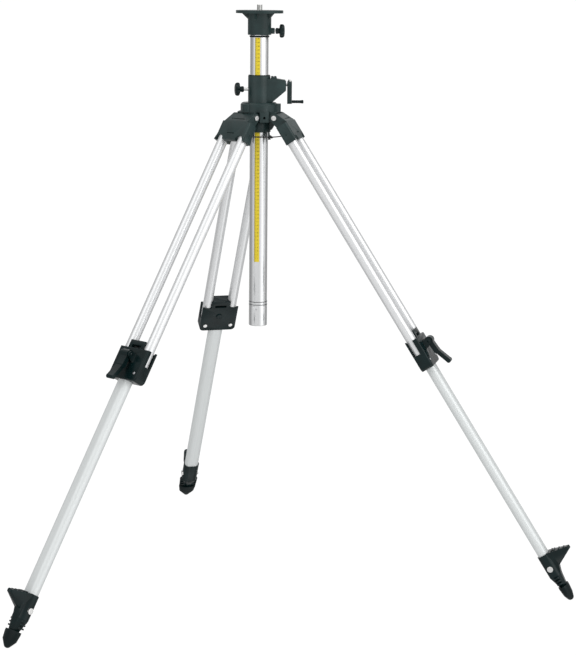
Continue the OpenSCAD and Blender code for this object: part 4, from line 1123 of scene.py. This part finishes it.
class TRIPOD_OT_legs(bpy.types.Operator):
    """Leg heads, twin tubes, hinge bolts and side screws of the three legs"""

    bl_idname = "tripod.legs"
    bl_label = "Legs"

    def execute(self, context):
        sizes = context.scene.tripod_sizes
        for side in SIDES:
            softened("leg_head_" + side, sizes.casting_edge)
            softened("upper_tubes_" + side, 0)
            softened("leg_fasteners_" + side, FINE_EDGE)
            for mark, letter in ((-1, "a"), (1, "b")):
                bolt = on_leg(bolt_face(*HINGE_BOLT), side, Vector((0, mark * EAR_OUT, 0)), (0, mark, 0))
                piece("hinge_bolt_{}_{}".format(side, letter), bolt, "leg_" + side, "zinc", SMOOTH_TURNED)
            bolt_pair("head_side_screws", side, "leg", "black_paint", SIDE_SCREW, SIDE_SCREW_PLACE)
        return {"FINISHED"}


class TRIPOD_OT_clamps(bpy.types.Operator):
    """Leg clamps with their levers, shoes, guides and screws"""

    bl_idname = "tripod.clamps"
    bl_label = "Leg Clamps"

    def execute(self, context):
        sizes = context.scene.tripod_sizes
        for side in SIDES:
            self.block(side, sizes.plastic_edge)
            softened("clamp_lever_" + side, LEVER_EDGE, segments=3)
            softened("leg_guide_" + side, GUIDE_EDGE)
            softened("brake_shoe_" + side, SHOE_EDGE)
            bolt_pair("clamp_screws", side, "leg", "zinc", CLAMP_SCREW, CLAMP_SCREW_PLACE, (-1, 0, 0))
            self.pin_caps(side)
            bolt_pair("clamp_screw_ends", side, "leg", "steel", SCREW_END, SCREW_END_PLACE, (1, 0, 0))
            self.boss(side)
        return {"FINISHED"}

    def block(self, side, edge):
        """Clamp block with well rounded front corners"""
        to_leg = leg_frame(side).inverted()

        def on_rim(place):
            """Whether a place is on the front face's rim: its sides, its bottom or its lower corners"""
            out, up = abs(place.y), place.z + CLAMP_BOTTOM
            at_front = abs(place.x - CLAMP_FRONT) < CLAMP_NEAR
            at_side = abs(out - CLAMP_SIDE) < CLAMP_NEAR or abs(up) < CLAMP_NEAR
            in_corner = out > CLAMP_SIDE - CLAMP_TURN - CLAMP_NEAR and up < CLAMP_TURN + CLAMP_NEAR
            return at_front and (at_side or in_corner)

        def front_corner(e):
            """Whether an edge of the block runs along that rim"""
            return all(on_rim(to_leg @ v.co / MM) for v in e.verts)

        softened("clamp_block_" + side, edge, corner=CLAMP_CORNER * MM, at=front_corner)

    def pin_caps(self, side):
        """Dark caps on the ends of the lever pin"""
        caps = [
            on_leg(turned(PIN_CAP_OUTLINE, PIN_CAP_STEPS), side, flank(LEVER_PIN_PLACE, mark), (0, mark, 0))
            for mark in (-1, 1)
        ]
        piece("lever_pin_caps_" + side, joined(caps), "leg_" + side, "black_plastic")

    def boss(self, side):
        """Dished round boss on the back of the block"""
        bm = on_leg(turned(BOSS_OUTLINE, BOSS_STEPS), side, BOSS_PLACE, (-1, 0, 0))
        piece("clamp_boss_" + side, bm, "leg_" + side, "black_plastic")


class TRIPOD_OT_feet(bpy.types.Operator):
    """Lower tubes, feet with their tread ridges, foot bolts and rubber boots"""

    bl_idname = "tripod.feet"
    bl_label = "Feet"

    def execute(self, context):
        sizes = context.scene.tripod_sizes
        for side in SIDES:
            softened("lower_tube_" + side, 0)
            softened("foot_" + side, sizes.plastic_edge)
            softened("foot_hardware_" + side, FINE_EDGE)
            softened("foot_boot_" + side, sizes.plastic_edge, sharp=50)
            self.ridges(side)
            bolt_pair("foot_bolts", side, "lower", "zinc", FOOT_BOLT, FOOT_BOLT_PLACE)
        return {"FINISHED"}

    def ridges(self, side):
        """Rounded grip bars across the tread"""
        bars = []
        for out, length in TREAD_BARS:
            end = [(out_share * TREAD_BAR_R, in_share * TREAD_BAR_R - length / 2)
                   for out_share, in_share in TREAD_END_SHARES]
            other_end = [(radius, -along) for radius, along in reversed(end)]
            bar = turned(end + other_end, TREAD_BAR_STEPS)
            share = out / TREAD_REACH
            fall = TREAD_DROP * share - TREAD_RISE * (1 - share)
            place = Vector((LEG_OFFSET + out, 0, TREAD_BAR_UP - FOOT_TOP - fall))
            bars.append(on_leg(bar, side, place, (0, 1, 0)))
        piece("tread_ridges_" + side, joined(bars), "lower_" + side, "black_plastic")


OPERATORS = (
    TRIPOD_OT_stage, TRIPOD_OT_cord, TRIPOD_OT_head, TRIPOD_OT_column, TRIPOD_OT_hub,
    TRIPOD_OT_drive, TRIPOD_OT_legs, TRIPOD_OT_clamps, TRIPOD_OT_feet,
)
GROUPS = {"tripod_sizes": TripodSizes, "tripod_colours": TripodColours, "tripod_light": TripodLight}


class TRIPOD_PT_pieces(bpy.types.Panel):
    """Lists the tripod's pieces, sizes, colours and light"""

    bl_idname = "TRIPOD_PT_pieces"
    bl_label = "Elevating Tripod"
    bl_space_type = "VIEW_3D"
    bl_region_type = "UI"
    bl_category = "Tripod"

    def draw(self, context):
        for operator in OPERATORS:
            self.layout.operator(operator.bl_idname)
        for group, kind in GROUPS.items():
            box = self.layout.box()
            for name in kind.__annotations__:
                box.prop(getattr(context.scene, group), name)


def register():
    for name, group in GROUPS.items():
        bpy.utils.register_class(group)
        setattr(bpy.types.Scene, name, PointerProperty(type=group))
    for operator in OPERATORS:
        bpy.utils.register_class(operator)
    bpy.utils.register_class(TRIPOD_PT_pieces)


def unregister():
    bpy.utils.unregister_class(TRIPOD_PT_pieces)
    for operator in reversed(OPERATORS):
        bpy.utils.unregister_class(operator)
    for name, group in GROUPS.items():
        delattr(bpy.types.Scene, name)
        bpy.utils.unregister_class(group)


def main():
    """Dresses the tripod"""
    register()
    bpy.ops.tripod.stage()
    bpy.ops.tripod.cord()
    bpy.ops.tripod.head()
    bpy.ops.tripod.column()
    bpy.ops.tripod.hub()
    bpy.ops.tripod.drive()
    bpy.ops.tripod.legs()
    bpy.ops.tripod.clamps()
    bpy.ops.tripod.feet()


if __name__ == "__main__":
    main()
